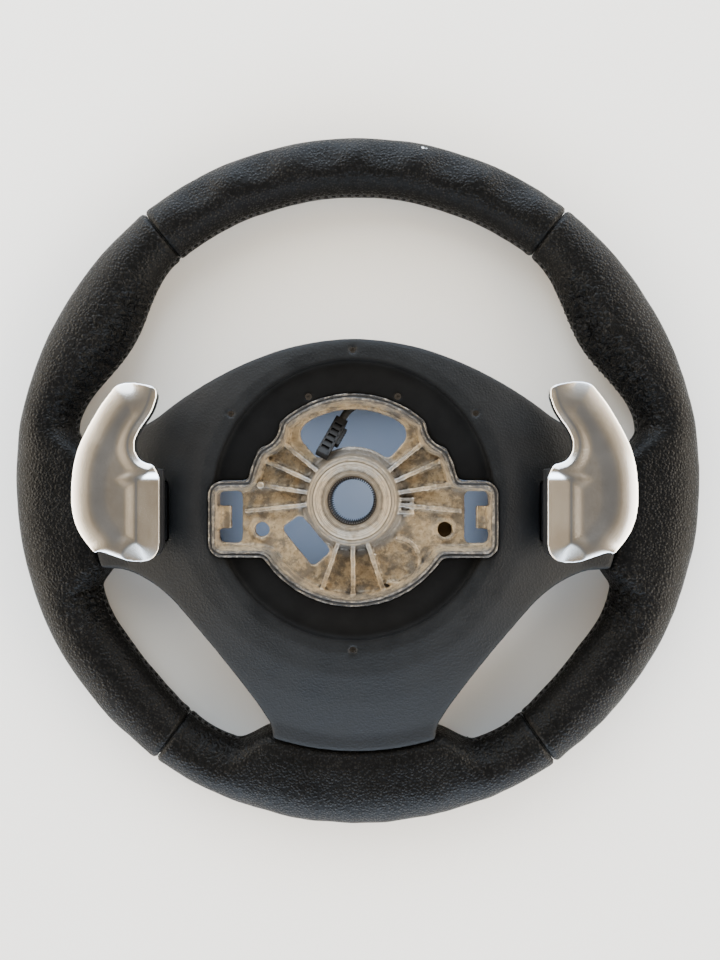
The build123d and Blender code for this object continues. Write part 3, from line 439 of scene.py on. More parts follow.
def paint_metal(name, shade, roughness):
    paint = Paint(name)
    patch = paint.noise(300, 5, 0.65)
    colour = paint.ramp(patch, (0.3, tuple(0.6 * part for part in shade)), (0.72, shade))
    rough = paint.range(patch, 0.3, 0.7, roughness + 0.1, roughness - 0.04)
    paint.set(colour, rough, metallic=0.95, normal=paint.bump(paint.noise(1400, 4, 0.6), 0.25, 0.0001))
    return paint.material


def paint_foam():
    paint = Paint("foam")
    pores = paint.cells(900, "F1")
    colour = paint.ramp(pores, (0.2, (0.02, 0.02, 0.02)), (0.7, (0.055, 0.055, 0.053)))
    paint.set(colour, 0.85, normal=paint.bump(pores, 0.6, 0.0004), specular=0.2)
    return paint.material


def paint_board():
    paint = Paint("circuit_board")
    tracks = paint.cells(520, "DISTANCE_TO_EDGE")
    colour = paint.ramp(tracks, (0.06, (0.03, 0.12, 0.06)), (0.14, (0.012, 0.06, 0.03)))
    paint.set(colour, 0.35, normal=paint.bump(tracks, 0.2, 0.0001), specular=0.5)
    return paint.material


def paint_tape():
    """Woven harness tape wound round the lead."""
    paint = Paint("cable_tape")
    weave = paint.noise(1500, 2, 0.5)
    inputs = {"Scale": 90, "Distortion": 1.5, "Vector": paint.place}
    bands = paint.node("ShaderNodeTexWave", inputs, wave_type="BANDS", bands_direction="DIAGONAL")
    height = paint.math("ADD", bands.outputs["Fac"], paint.times(weave, 0.6))
    colour = paint.ramp(weave, (0.3, (0.008, 0.008, 0.008)), (0.7, (0.026, 0.026, 0.027)))
    paint.set(colour, 0.72, normal=paint.bump(height, 0.6, 0.0004), specular=0.3)
    return paint.material


paints = {
    "black_leather": paint_leather(),
    "black_thread": paint_thread(),
    "grained_plastic": paint_cover(),
    "black_plastic": paint_plastic("black_plastic", (0.0060, 0.0060, 0.0066), 0.42),
    "key_rubber": paint_plastic("key_rubber", (0.014, 0.014, 0.015), 0.62),
    "satin_paddle": paint_satin("satin_paddle", (0.80, 0.80, 0.80), 0.19),
    "satin_trim": paint_satin("satin_trim", (0.62, 0.62, 0.63), 0.30),
    "cast_aluminium": paint_casting(),
    "steel": paint_metal("steel", (0.46, 0.46, 0.47), 0.38),
    "spring_steel": paint_metal("spring_steel", (0.42, 0.42, 0.43), 0.30),
    "dark_screws": paint_metal("dark_screws", (0.07, 0.06, 0.05), 0.45),
    "foam": paint_foam(),
    "circuit_board": paint_board(),
    "brass": paint_metal("brass", (0.15, 0.095, 0.045), 0.45),
    "cable_tape": paint_tape(),
}


# ---------------------------------------------------------------- mesh tools

def new_piece(name, vertices, faces, paint, smooth=True):
    """A mesh object from vertices in millimetres."""
    mesh = bpy.data.meshes.new(name)
    mesh.from_pydata([tuple(row) for row in np.asarray(vertices) * MM], [], faces)
    mesh.validate()
    piece = link(bpy.data.objects.new(name, mesh))
    mesh.materials.append(paints[paint])
    mesh.polygons.foreach_set("use_smooth", [smooth] * len(mesh.polygons))
    return piece


def stand_in(piece, paint, body, *replaced):
    """Puts a new piece on its body and hides the CAD nodes that it stands for; the paint argument is not
    used.
    """
    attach(piece, body)
    if replaced:
        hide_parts(*replaced)


def grid_faces(columns, rows, first=0, flip=False):
    """Quads of a grid of columns+1 stations, each a closed ring of rows vertices."""
    faces = []
    for column in range(columns):
        for row in range(rows):
            a = first + column * rows + row
            b = first + column * rows + (row + 1) % rows
            quad = (a, b, b + rows, a + rows)
            faces.append(quad[::-1] if flip else quad)
    return faces


def places_of(piece):
    """The mesh's vertices in millimetres, as an array."""
    flat = np.zeros(len(piece.data.vertices) * 3)
    piece.data.vertices.foreach_get("co", flat)
    return flat.reshape(-1, 3) / MM


def move_to(piece, places):
    piece.data.vertices.foreach_set("co", (places * MM).ravel())
    piece.data.update()


def normals_of(piece):
    flat = np.zeros(len(piece.data.vertices) * 3)
    piece.data.vertex_normals.foreach_get("vector", flat)
    return flat.reshape(-1, 3)


def relax(piece, passes, weights=1.0):
    """Evens out the surface: each vertex moves halfway to its neighbours' mean, times its weight."""
    pairs = np.zeros(len(piece.data.edges) * 2, int)
    piece.data.edges.foreach_get("vertices", pairs)
    one, two = pairs.reshape(-1, 2).T
    places = places_of(piece)
    count = len(places)
    degree = np.bincount(one, minlength=count) + np.bincount(two, minlength=count)
    share = 0.5 * np.broadcast_to(weights, count)[:, None]
    for _ in range(passes):
        mean = np.stack([
            np.bincount(one, places[two, axis], count) + np.bincount(two, places[one, axis], count)
            for axis in range(3)
        ], axis=1) / np.maximum(degree, 1)[:, None]
        places += share * (mean - places)
    move_to(piece, places)


def remeshed_copy(node, name, voxel):
    """A new object with the CAD node's shape, as an even mesh of small quads."""
    piece = link(bpy.data.objects.new(name, nodes[node].data.copy()))
    apply_remesh(piece, voxel)
    return piece


def mark_vertices(piece, name, values):
    """Stores a value on each vertex, for a material to read."""
    mark = piece.data.attributes.new(name, "FLOAT", "POINT")
    mark.data.foreach_set("value", values.astype(np.float32))


def apply_remesh(piece, voxel):
    remesh = piece.modifiers.new("even_mesh", "REMESH")
    remesh.mode = "VOXEL"
    remesh.voxel_size = voxel * MM
    remesh.use_smooth_shade = True
    bpy.context.view_layer.update()
    evaluated = piece.evaluated_get(bpy.context.evaluated_depsgraph_get())
    made = bpy.data.meshes.new_from_object(evaluated)
    piece.modifiers.clear()
    piece.data = made


def finish_surface(piece, paint):
    piece.data.materials.clear()
    piece.data.materials.append(paints[paint])
    piece.data.polygons.foreach_set("use_smooth", [True] * len(piece.data.polygons))
    piece.data.update()


def smooth_step(value, low, high):
    t = np.clip((np.asarray(value, float) - low) / (high - low), 0, 1)
    return t * t * (3 - 2 * t)


def bell(value, centre, spread):
    return np.exp(-((np.asarray(value, float) - centre) / spread) ** 2)


def field(places, scale, seed=0.0):
    """Smooth noise of about -1 to 1 at each place, with features of the scale's millimetres."""
    shift = Vector((seed, 1.7 * seed, -2.3 * seed))
    return np.array([noise.noise(Vector(place) / scale + shift) for place in places]) * 1.6


# ---------------------------------------------------------------- leather rim

THUMB_SWELL = (31.0, 20.5, 22.0, 13.0)     # centre, spread below and above it, depth
SIDE_ROOT_SWELL = (-8.0, 24.0, 22.0, 13.0)
FLANK_SWELL = (-38.0, 24.0, 24.0, 4.6)
BOTTOM_ROOT_SWELL = (-90.0, 32.0, 32.0, 13.0)
# where the leather reaches the cover: plateau limits and the angles at which the reach has faded
SIDE_REACH = (-22.4, -18.2, 3.5, 10.5)
BOTTOM_REACH_HALF = (17.2, 25.0)
ROOT_OVERLAP = 1.6       # the leather laps over the cover's end by this much
FOAM_SET_IN = 2.1        # room for the finger hollows between leather and foam
ARC_STEP = 1.15          # spacing of the leather's mesh along the rim
RING = 104               # vertices around the section
MIDDLE_RADIUS, SHOULDER_RADIUS, INNER_RADIUS = 172, 176, 160     # of the rim, for lengths along it
# angles around the section: 0 faces away from the rim's centre, 90 up, 180 towards the centre
PALM_TURN, FINGER_TURN, GATHER_TURN, SEAM_TURN = 22, 78, 142, 180
FINGER_HOLLOWS = tuple(90 + side * step for step in (5.6, 17.0, 28.3) for side in (1, -1))
FINGER_DEPTH, FINGER_HALF_LENGTH, FINGER_HALF_WIDTH = 2.6, 12.0, 9.0
# the panel's turned-in ends, the sewn groove, and the pitch of the gathers' folds
PANEL_END_DEPTH, PANEL_END_WIDTH = 1.15, 0.75
SEAM_DEPTH = 0.9
FOLD_PITCH = 4.6
RELIEF_LIMIT = 0.45      # the highest that the relief rises over the plain section
END_STEPS = np.array([0.0, 0.12, 0.25, 0.4, 0.6, 0.85]) * 0.35     # closer stations at a panel's end


def folded(angle):
    """Angle about the rim's centre as on the driver's left half, from -90 to 90 degrees."""
    return np.degrees(np.arcsin(np.clip(np.sin(np.radians(angle)), -1, 1)))


def swell(angle, place):
    centre, below, above, depth = place
    away = np.abs(angle - centre)
    spread = np.where(angle < centre, below, above)
    return np.where(away < spread, depth * np.cos(np.pi / 2 * np.minimum(away / spread, 1)) ** 2, 0.0)


def on_rim(bearing, radius, height):
    """Places at a bearing in radians, a radius and a height over the rim's middle plane."""
    return np.stack([
        RIM_CENTRE.x + radius * np.cos(bearing),
        RIM_CENTRE.y + radius * np.sin(bearing),
        RIM_CENTRE.z + height,
    ], axis=-1)


def rim_grid(angles, ring):
    """Every vertex's angle along the rim and angle around the section, station by station."""
    turns = np.linspace(0, 2 * np.pi, ring, endpoint=False)
    return [grid.ravel() for grid in np.meshgrid(angles, turns, indexing="ij")]


def root_reach(angle):
    """1 where the leather runs on to the cover's end, 0 on the free rim."""
    half = folded(angle)
    low, low_full, high_full, high = SIDE_REACH
    side = smooth_step(half, low, low_full) * (1 - smooth_step(half, high_full, high))
    full, none = BOTTOM_REACH_HALF
    bottom = 1 - smooth_step(half + 90, full, none)
    return np.maximum(side, bottom)


def rim_width(angle):
    half = folded(angle)
    places = (THUMB_SWELL, SIDE_ROOT_SWELL, FLANK_SWELL, BOTTOM_ROOT_SWELL)
    free = TUBE_WIDTH + sum(swell(half, place) for place in places)
    reach = root_reach(angle)
    return free + (RIM_RADIUS - COVER_END_RADIUS + ROOT_OVERLAP - free) * reach


def section(angle, turn, inset):
    """Radius and height of the leather's plain surface, and the outward direction there."""
    half_width = rim_width(angle) / 2
    reach = root_reach(angle)
    power = 2.0 + 2.4 * reach * (np.cos(turn) < 0)
    side = np.sign(np.cos(turn)) * np.abs(np.cos(turn)) ** (2 / power)
    high = np.sign(np.sin(turn)) * np.abs(np.sin(turn)) ** (2 / power)
    radius = RIM_RADIUS - half_width + (half_width - inset) * side
    height = (TUBE_HALF_HEIGHT - inset) * high
    out = np.stack([np.cos(turn) / half_width, np.sin(turn) / TUBE_HALF_HEIGHT])
    return radius, height, out / np.linalg.norm(out, axis=0)


def turned_gap(turn, place):
    """Difference of two section angles, in degrees, wrapped."""
    return (np.degrees(turn) - place + 180) % 360 - 180


def leather_relief(angle, turn, start, stop, spots):
    """Height of the leather over its plain section, in millimetres, and how gathered it is."""
    radius = RIM_RADIUS - rim_width(angle) / 2
    half = folded(angle)
    from_end = np.minimum(angle - start, stop - angle) * np.pi / 180 * radius
    relief = 0.22 * bell(from_end, 3.0, 2.0) - PANEL_END_DEPTH * bell(from_end, 0, PANEL_END_WIDTH)
    # finger hollows on the outer shoulder of the top section
    for place in FINGER_HOLLOWS:
        along = (angle - place) * np.pi / 180 * SHOULDER_RADIUS / FINGER_HALF_LENGTH
        across = turned_gap(turn, FINGER_TURN) * np.pi / 180 * TUBE_HALF_HEIGHT / FINGER_HALF_WIDTH
        relief -= FINGER_DEPTH * np.exp(-np.abs(along) ** 2.6 - np.abs(across) ** 2.4)
    top_zone = smooth_step(half, UPPER_SEAM + 2, UPPER_SEAM + 8)
    relief += 0.35 * top_zone * bell(turned_gap(turn, PALM_TURN), 0, 13)
    # sewn groove facing the rim's centre
    relief -= SEAM_DEPTH * (1 - root_reach(angle)) * bell(turned_gap(turn, SEAM_TURN), 0, 3.2)
    # gathers on the inner shoulder of the thumb swells and beside the spoke roots
    inner = bell(turned_gap(turn, GATHER_TURN), 0, 36)
    thumb = smooth_step(half, 8, 14) * (1 - smooth_step(half, 38, 48))
    low_side = smooth_step(half, -33, -25) * (1 - smooth_step(half, -20, -16))
    beside_bottom = smooth_step(half, -72, -66) * (1 - smooth_step(half, -60, -55))
    low_inner = bell(turned_gap(turn, GATHER_TURN - 2), 0, 40)
    gather = np.clip(thumb * inner + 0.9 * low_side * low_inner + 0.35 * beside_bottom * inner, 0, 1)
    along = angle * np.pi / 180 * INNER_RADIUS
    wave = field(spots * np.array([1, 1, 0.7]), 3.3, 3.0)
    fold = np.sin(along / FOLD_PITCH * 2 * np.pi + 2.2 * field(spots, 11.0, 5.0))
    relief += gather * (0.95 * wave + 0.15 * fold - 0.45)
    # hand-worn unevenness
    relief += 0.22 * field(spots, 24.0, 1.0) + 0.09 * field(spots, 8.0, 2.0)
    lower = smooth_step(-half, 30, 45)
    relief += 0.25 * lower * field(spots, 14.0, 7.0)
    return relief, gather


def make_leather(node, start, stop):
    """A sewn panel between two angles of the rim: an outer and an inner skin, closed at the ends."""
    start, stop = start + 0.06, stop - 0.06
    columns = int((stop - start) * math.pi / 180 * MIDDLE_RADIUS / ARC_STEP)
    middle = np.linspace(start + 0.42, stop - 0.42, columns)
    steps = np.concatenate([start + END_STEPS, middle, stop - END_STEPS[::-1]])
    angle, turn = rim_grid(steps, RING)
    bearing = np.radians(angle)
    radius, height, out = section(angle, turn, 0.0)
    relief, gather = leather_relief(angle, turn, start, stop, on_rim(bearing, radius, height))
    lift = np.minimum(relief, RELIEF_LIMIT)
    outer = on_rim(bearing, radius + out[0] * lift, height + out[1] * lift)
    inner = on_rim(bearing, *section(angle, turn, LEATHER + FOAM_SET_IN)[:2])
    count = len(outer)
    last = count - RING
    faces = grid_faces(len(steps) - 1, RING, 0, True) + grid_faces(len(steps) - 1, RING, count)
    for row in range(RING):
        following = (row + 1) % RING
        faces.append((row, row + count, following + count, following))
        faces.append((last + row, last + following, last + following + count, last + row + count))
    piece = new_piece(f"{node}_wrap", np.vstack([outer, inner]), faces, "black_leather")
    mark_vertices(piece, "gather", np.concatenate([gather, 0 * gather]))
    stand_in(piece, "black_leather", "wheel", node)


def make_foam():
    """The foam core, a closed ring that follows the leather's plain section from inside."""
    stations, ring = 240, 36
    angle, turn = rim_grid(np.linspace(0, 360, stations, endpoint=False), ring)
    radius, height, _ = section(angle, turn, LEATHER + FOAM_SET_IN + 0.1)
    faces = grid_faces(stations - 1, ring, 0, True)
    last = (stations - 1) * ring
    faces += [(last + row, row, (row + 1) % ring, last + (row + 1) % ring) for row in range(ring)]
    piece = new_piece("rim_foam_core", on_rim(np.radians(angle), radius, height), faces, "foam")
    stand_in(piece, "foam", "wheel", "rim_foam")


def make_stitching():
    """Cross stitches along the sewn groove that faces the rim's centre."""
    pitch, thread, sides = 4.3, 0.42, 6
    half_length, half_height = 1.5, 2.3
    vertices, faces = [], []
    bearing = -180.0
    while bearing < 180.0:
        radius = RIM_RADIUS - float(rim_width(bearing))
        if root_reach(bearing) < 0.12:
            for lean in (1, -1):
                path = []
                for step in np.linspace(-1, 1, 7):
                    along = math.radians(bearing) + lean * step * half_length / radius
                    lift = 0.55 * (1 - step ** 2) - 0.15
                    reach_in = radius + 0.35 - lift * 0.6 + 0.10 * step ** 2
                    path.append(on_rim(along, reach_in, step * half_height))
                add_tube(vertices, faces, path, thread, sides)
        bearing += math.degrees(pitch / radius)
    piece = new_piece("rim_stitching", vertices, faces, "black_thread")
    stand_in(piece, "black_leather", "wheel")


def add_tube(vertices, faces, path, radius, sides):
    """Adds a closed tube along a list of points to the lists of vertices and faces."""
    first = len(vertices)
    for index, point in enumerate(path):
        ahead = path[min(index + 1, len(path) - 1)] - path[max(index - 1, 0)]
        ahead = ahead / np.linalg.norm(ahead)
        across = np.cross(ahead, (0.3, 0.2, 0.93))
        across = across / np.linalg.norm(across)
        other = np.cross(ahead, across)
        size = radius * (0.55 if index in (0, len(path) - 1) else 1.0)
        for side in range(sides):
            spin = 2 * math.pi * side / sides
            vertices.append(point + size * (across * math.cos(spin) + other * math.sin(spin)))
    faces.extend(grid_faces(len(path) - 1, sides, first))
    faces.append(tuple(range(first, first + sides)))
    last = first + (len(path) - 1) * sides
    faces.append(tuple(range(last + sides - 1, last - 1, -1)))


# ---------------------------------------------------------------- cover and casting

def make_cover():
    """The cover with softly rounded mould edges; the recess keeps a crisper wall."""
    piece = remeshed_copy("rear_cover", "rear_cover_shell", 0.9)
    places = places_of(piece)
    axis_distance = np.hypot(places[:, 0], places[:, 1])
    weights = 0.12 + 0.88 * smooth_step(axis_distance, RECESS_RADIUS + 4, RECESS_RADIUS + 10)
    relax(piece, 14, weights)
    finish_surface(piece, "grained_plastic")
    stand_in(piece, "grained_plastic", "wheel", "rear_cover")


# the tray's outline: a disc with two wings and, above each wing, a round notch
TRAY_RADIUS = 53.7
WING_REACH, WING_TOP, WING_BOTTOM, WING_CORNER = 73.1, 9.5, -29.0, 7.0
NOTCH_ANGLE, NOTCH_CENTRE, NOTCH_RADIUS = 38.0, 61.0, 11.0
OUTLINE_BLEND = 3.0
GROOVE_IN = 1.45         # from the outline to the middle of the lip's groove


def soft_min(first, second, reach):
    """The lower of two fields, with a rounding of about reach where they cross."""
    share = np.clip(0.5 + 0.5 * (second - first) / reach, 0, 1)
    return second + (first - second) * share - reach * share * (1 - share)


def inside_tray(places):
    """Depth inside the tray's outline, in millimetres; negative outside."""
    x, y = np.abs(places[:, 0]), places[:, 1]
    disc = np.hypot(x, y) - TRAY_RADIUS
    over_x = x - (WING_REACH - WING_CORNER)
    over_y = np.abs(y - (WING_TOP + WING_BOTTOM) / 2) - ((WING_TOP - WING_BOTTOM) / 2 - WING_CORNER)
    outside = np.hypot(np.maximum(over_x, 0), np.maximum(over_y, 0))
    wings = outside + np.minimum(np.maximum(over_x, over_y), 0) - WING_CORNER
    outline = soft_min(disc, wings, OUTLINE_BLEND)
    turn = math.radians(NOTCH_ANGLE)
    from_notch = np.hypot(x - NOTCH_CENTRE * math.cos(turn), y - NOTCH_CENTRE * math.sin(turn))
    return soft_min(-outline, from_notch - NOTCH_RADIUS, OUTLINE_BLEND)


def make_casting():
    """The hub casting with cast radii and a slightly uneven skin."""
    piece = remeshed_copy("hub_casting", "hub_casting_skin", 0.55)
    relax(piece, 3, 0.8)
    places = places_of(piece)
    axis_distance = np.hypot(places[:, 0], places[:, 1])
    depth = inside_tray(places)
    on_lip = smooth_step(places[:, 2], LIP_LEVEL - 2.6, LIP_LEVEL - 1.2)
    flank = 0.8 * (1 - smooth_step(depth, 0.0, 0.45))
    mark_vertices(piece, "groove", on_lip * np.clip(bell(depth, GROOVE_IN, 0.65) + flank, 0, 1))
    mark_vertices(piece, "lip", on_lip * smooth_step(4.2 - depth, 0, 0.8))
    places[:, 2] -= 0.9 * on_lip * bell(depth, GROOVE_IN, 0.6)
    move_to(piece, places)
    rough_zone = smooth_step(axis_distance, BORE_RADIUS + 0.5, BORE_RADIUS + 4)
    lift = 0.16 * field(places, 3.4, 4.0) + 0.10 * field(places, 1.5, 6.0)
    move_to(piece, places + normals_of(piece) * (lift * rough_zone)[:, None])
    finish_surface(piece, "cast_aluminium")
    stand_in(piece, "cast_aluminium", "wheel", "hub_casting")


def make_serrations():
    """Fine spline teeth inside the bore."""
    teeth, depth, backing = 60, 1.0, 0.6
    levels = [RIM_CENTRE.z + height for height in (19.0, 44.5)]
    tooth_shape = ((0.0, 0.0), (0.28, 0.0), (0.42, depth), (0.58, depth), (0.72, 0.0))
    profile = []
    for tooth in range(teeth):
        for share, inward in tooth_shape:
            profile.append((2 * math.pi * (tooth + share) / teeth, BORE_RADIUS - inward))
    rear = [(turn, BORE_RADIUS + backing) for turn, _ in profile]
    vertices = [(radius * math.cos(turn), radius * math.sin(turn), level)
                for line in (profile, rear) for level in levels for turn, radius in line]
    ring, faces = len(profile), []
    for index in range(ring):
        following = (index + 1) % ring
        faces.append((index, index + ring, following + ring, following))
        faces.append((index + 2 * ring, following + 2 * ring, following + 3 * ring, index + 3 * ring))
        faces.append((index, following, following + 2 * ring, index + 2 * ring))
        faces.append((index + ring, index + 3 * ring, following + 3 * ring, following + ring))
    piece = new_piece("bore_serrations", vertices, faces, "dark_screws", smooth=False)
    stand_in(piece, "dark_screws", "wheel")


# ---------------------------------------------------------------- paddles

# the face is shaped by how far the top drops, by the distance from each side of the outline
FLANK_CORNER = (132.4, -22.3)                 # where the underside turns into the flank
HORN_FOOT = 45.0                              # the tip is the point nearest the hub above this height
FLANK_DROP, FLANK_WIDTH = 2.3, 12.5
UNDER_DROP, UNDER_WIDTH = 1.1, 3.0
EDGE_ROUNDING = 1.1
FACET_SLOPE, FACET_NARROW, FACET_WIDER = 0.45, 3.0, 7.3
HOLLOW_DEPTH = 0.9                            # for the fingers


def outline_of(node, level):
    """Ordered corner points of a prism's flat underside at a level, from its CAD mesh."""
    source = bmesh.new()
    source.from_mesh(nodes[node].data)
    bmesh.ops.remove_doubles(source, verts=source.verts, dist=1e-6)
    source.normal_update()
    following = {}
    for edge in source.edges:
        if len(edge.link_faces) != 2:
            continue
        under = [face for face in edge.link_faces if face.normal.z < -0.9]
        wall = [face for face in edge.link_faces if abs(face.normal.z) < 0.3]
        at_level = all(abs(v.co.z / MM - level) < 0.05 for v in edge.verts)
        if len(under) == 1 and len(wall) == 1 and at_level:
            for one, two in ((edge.verts[0], edge.verts[1]), (edge.verts[1], edge.verts[0])):
                following.setdefault(one.index, []).append(two.index)
    spots = {v.index: (v.co.x / MM, v.co.y / MM) for v in source.verts}
    source.free()
    start = min(following)
    loop, last, here = [start], start, following[start][0]
    while here != start:
        loop.append(here)
        options = [index for index in following[here] if index != last]
        last, here = here, options[0]
    return np.array([spots[index] for index in loop])


def distance_to(points, line):
    """Distance of each point to an open line of corner points, in millimetres."""
    nearest = np.full(len(points), 1e9)
    for one, two in zip(line[:-1], line[1:]):
        along = two - one
        share = np.clip(((points - one) @ along) / max(along @ along, 1e-12), 0, 1)
        gap = np.linalg.norm(points - one - share[:, None] * along, axis=1)
        nearest = np.minimum(nearest, gap)
    return nearest


def make_blade(side, node, body):
    """A paddle with a rounded flank, a flat facet on the hub side and a hollow for the fingers."""
    low, high, _ = box_mm(node)
    outline = outline_of(node, low.z)
    outline[:, 0] *= side
    x, y = outline.T
    if np.sum(x * np.roll(y, -1) - np.roll(x, -1) * y) < 0:
        outline = outline[::-1]
    # the outline, anticlockwise, from its lowest corner: underside, flank, crown, then the hub side
    outline = np.roll(outline, -int(np.argmin(outline[:, 1])), axis=0)
    flank_start = int(np.argmin(np.hypot(*(outline - FLANK_CORNER).T)))
    crown = int(np.argmax(outline[:, 1]))
    tip = int(np.argmin(np.where(outline[:, 1] > HORN_FOOT, outline[:, 0], 1e9)))
    foot = len(outline) - 1
    count = len(outline)
    top, bottom = high.z, low.z
    vertices = [(side * x, y, level) for level in (bottom, top) for x, y in outline]
    faces = [tuple(range(count)), tuple(range(2 * count - 1, count - 1, -1))]
    faces += [(i, i + count, (i + 1) % count + count, (i + 1) % count) for i in range(count)]
    if side > 0:
        faces = [face[::-1] for face in faces]
    piece = new_piece(f"{node}_face", vertices, faces, "satin_paddle")
    apply_remesh(piece, 0.5)
    places = places_of(piece)
    flat = places[:, :2] * (side, 1)
    flank = distance_to(flat, outline[flank_start:crown + 1])
    hub = distance_to(flat, outline[tip:foot + 1])
    under = distance_to(flat, np.vstack([outline[foot:], outline[:flank_start + 1]]))
    crest = distance_to(flat, outline[crown:tip + 1])
    edge = np.minimum(np.minimum(flank, hub), np.minimum(under, crest))
    # wide rounding on the flank, thin rounding elsewhere, a bright edge along the underside
    drop = FLANK_DROP * np.clip(1 - flank / FLANK_WIDTH, 0, 1) ** 2
    rounding = np.clip(1 - edge / EDGE_ROUNDING, 0, 1)
    drop = np.maximum(drop, 1 - np.sqrt(1 - rounding ** 2 * 0.98))
    drop = np.maximum(drop, UNDER_DROP * np.clip(1 - under / UNDER_WIDTH, 0, 1) ** 1.4)
    # facet on the hub side falls steeply towards the hub; it narrows up the horn
    width = FACET_NARROW + FACET_WIDER * (1 - smooth_step(flat[:, 1], 9.5, 15.5))
    drop = np.maximum(drop, FACET_SLOPE * np.clip(width - hub, 0, None))
    # finger hollow: crisp along the facet, soft towards the flank
    hollow = smooth_step(hub - width, 0, 7) * smooth_step(flank, 9, 19) * smooth_step(under, 3, 12)
    drop = drop + HOLLOW_DEPTH * hollow
    share_up = np.clip((places[:, 2] - bottom) / (top - bottom), 0, 1)
    places[:, 2] -= drop * smooth_step(share_up, 0.35, 1.0)
    move_to(piece, places)
    relax(piece, 4, 0.6)
    finish_surface(piece, "satin_paddle")
    stand_in(piece, "satin_paddle", body, node)


# ---------------------------------------------------------------- lead

LEAD_DIAMETER = 4.0
# metres, the third value above the rim's middle plane
LEAD_ROUTE = (
    (0.0247, 0.0470, 0.0160),
    (0.0185, 0.0505, 0.0160),
    (0.0115, 0.0521, 0.0160),
    (0.0048, 0.0513, 0.0163),
    (-0.0006, 0.0487, 0.0173),
    (-0.00425, 0.0451, 0.0192),
    (-0.0063, 0.0412, 0.0215),
)


def make_lead():
    """The short taped lead from the harness clip to the plug."""
    points = [(x, y, RIM_CENTRE.z * MM + height) for x, y, height in LEAD_ROUTE]
    data = bpy.data.curves.new("plug_lead_taped", "CURVE")
    data.dimensions = "3D"
    spline = data.splines.new("NURBS")
    spline.points.add(len(points) - 1)
    for point, place in zip(spline.points, points):
        point.co = (*place, 1)
    spline.order_u = 3
    spline.use_endpoint_u = True
    data.resolution_u = 24
    data.bevel_depth = LEAD_DIAMETER * MM / 2
    data.bevel_resolution = 6
    data.use_fill_caps = True
    lead = link(bpy.data.objects.new("plug_lead_taped", data))
    data.materials.append(paints["cable_tape"])
    stand_in(lead, "cable_tape", "wheel", "plug_lead")


PLUG_END = (-6.3, 41.2, 21.5)
PLUG_HEADING = (-0.41, -0.785, 0.46)
PLUG_LENGTH, PLUG_WIDTH, PLUG_THICKNESS = 23.5, 6.6, 5.4
SLOTS, SLOT_DEPTH, SLOT_LENGTH, SLOT_PITCH = 5, 1.2, 1.9, 3.7
PLUG_COLLAR, LEFT_WALL, RIGHT_WALL, SIDE_RIBS = 4.0, 1.3, 1.1, 6


def make_plug():
    """The plug's housing with a ladder of slots in its upper face and a collar at its mouth."""
    ahead = Vector(PLUG_HEADING).normalized()
    side = ahead.cross(Vector((0, 0, 1))).normalized()
    up = side.cross(ahead)
    start = Vector(PLUG_END) + Vector((0, 0, RIM_CENTRE.z))
    vertices, faces = [], []

    def bar(along, across, upward):
        first = len(vertices)
        for a in along:
            for b in across:
                for c in upward:
                    vertices.append(start + ahead * a + side * b + up * c)
        for quad in ((0, 1, 3, 2), (4, 6, 7, 5), (0, 4, 5, 1), (2, 3, 7, 6), (0, 2, 6, 4), (1, 5, 7, 3)):
            faces.append(tuple(first + corner for corner in quad))

    half_width, half_thick = PLUG_WIDTH / 2, PLUG_THICKNESS / 2
    floor = half_thick - SLOT_DEPTH
    upper = (floor - 0.1, half_thick)
    bar((0, PLUG_LENGTH), (-half_width, half_width), (-half_thick, floor))
    bar((0, PLUG_LENGTH), (-half_width, LEFT_WALL - half_width), upper)
    bar((0, PLUG_LENGTH), (half_width - RIGHT_WALL, half_width), upper)
    bar((0, PLUG_COLLAR), (-half_width, half_width), upper)
    for step in range(SLOTS):
        rib = PLUG_COLLAR + SLOT_LENGTH + SLOT_PITCH * step
        rib_end = rib + SLOT_PITCH - SLOT_LENGTH if step < SLOTS - 1 else PLUG_LENGTH
        bar((rib, rib_end), (0.2 - half_width, half_width - 0.2), upper)
    for step in range(SIDE_RIBS):
        place = 4.6 + 1.7 * step
        bar((place, place + 0.8), (-half_width - 2.0, -half_width), (-1.6, 1.9))
    piece = new_piece("plug_housing_slotted", vertices, faces, "black_plastic", smooth=False)
    rounding = piece.modifiers.new("rounded_edges", "BEVEL")
    rounding.width = 0.16 * MM
    rounding.segments = 2
    stand_in(piece, "black_plastic", "wheel", "plug_housing")


# ---------------------------------------------------------------- CAD nodes that keep their shape

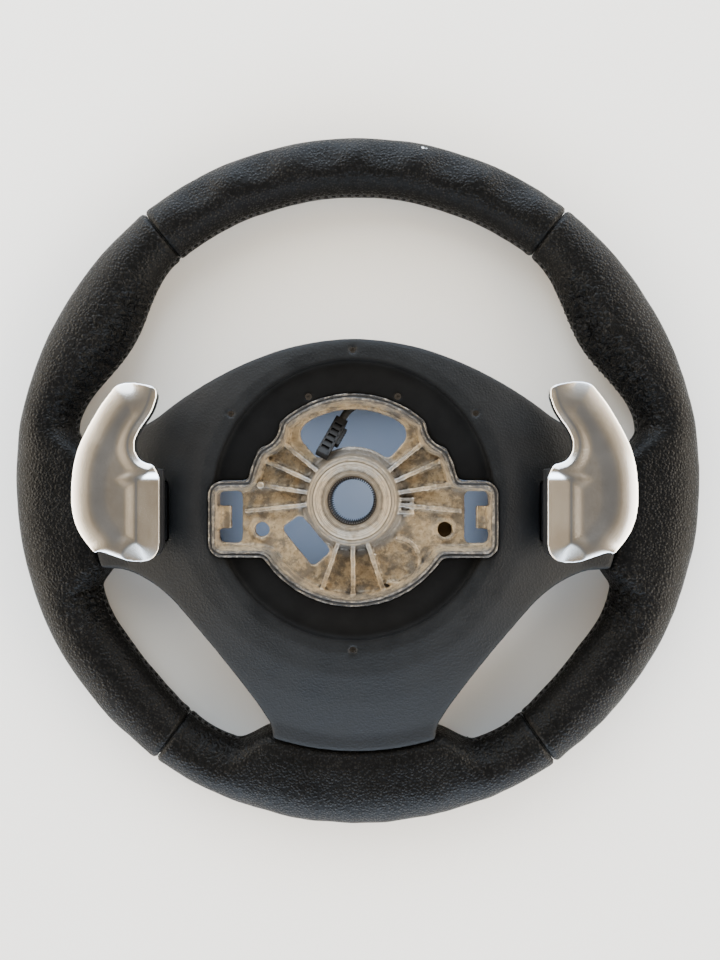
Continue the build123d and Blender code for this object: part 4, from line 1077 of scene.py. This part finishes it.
def dress(node, paint, bevel=0.0):
    """Gives a CAD node its finish and, where it has sharp edges, a small rounding."""
    piece = nodes[node]
    piece.data.materials.clear()
    piece.data.materials.append(paints[paint])
    weld = piece.modifiers.new("weld", "WELD")
    weld.merge_threshold = 0.000002
    if bevel:
        rounding = piece.modifiers.new("rounded_edges", "BEVEL")
        rounding.width = bevel * MM
        rounding.segments = 2
        rounding.limit_method = "ANGLE"
        rounding.angle_limit = math.radians(38)
        rounding.harden_normals = False
    even = piece.modifiers.new("even_shading", "WEIGHTED_NORMAL")
    even.keep_sharp = True


# finish, rounding in millimetres, nodes
CAD_FINISHES = (
    ("steel", 0.0, "rim_skeleton"),
    ("black_plastic", 0.5, "front_trim downshift_carrier upshift_carrier"),
    ("satin_trim", 0.3, "lower_spoke_insert"),
    ("dark_screws", 0.12, "cover_screws recess_screws paddle_housing_screws"),
    ("black_plastic", 0.3, "left_switch_pod right_switch_pod downshift_housing upshift_housing"),
    ("key_rubber", 0.3, "left_rocker right_rocker"),
    ("key_rubber", 0.2, "left_button right_button"),
    ("satin_trim", 0.12, "left_roller right_roller"),
    ("steel", 0.1, "left_key_pins right_key_pins"),
    ("black_plastic", 0.15, "downshift_microswitch upshift_microswitch plug_latch"),
    ("spring_steel", 0.0, "downshift_return_spring upshift_return_spring airbag_retaining_springs"),
    ("steel", 0.15, "downshift_pivot_pin upshift_pivot_pin"),
    ("black_plastic", 0.3, "module_case harness_clip"),
    ("black_plastic", 0.2, "module_lid"),
    ("circuit_board", 0.1, "circuit_board"),
    ("brass", 0.2, "horn_contact"),
    ("cable_tape", 0.0, "harness_loom"),
    ("brass", 0.05, "plug_terminals"),
)


# ---------------------------------------------------------------- the whole wheel

make_camera()
make_lights()
make_floor()
make_plug()
make_lead()
make_leather("leather_top", UPPER_SEAM, 180 - UPPER_SEAM)
make_leather("leather_right", 180 - UPPER_SEAM, 180 - LOWER_SEAM)
make_leather("leather_bottom", 180 - LOWER_SEAM, 360 + LOWER_SEAM)
make_leather("leather_left", LOWER_SEAM, UPPER_SEAM)
make_foam()
make_stitching()
make_cover()
make_casting()
make_serrations()
make_blade(1, "downshift_blade", "downshift_lever")
make_blade(-1, "upshift_blade", "upshift_lever")
for finish, rounding, names in CAD_FINISHES:
    for name in names.split():
        dress(name, finish, rounding)
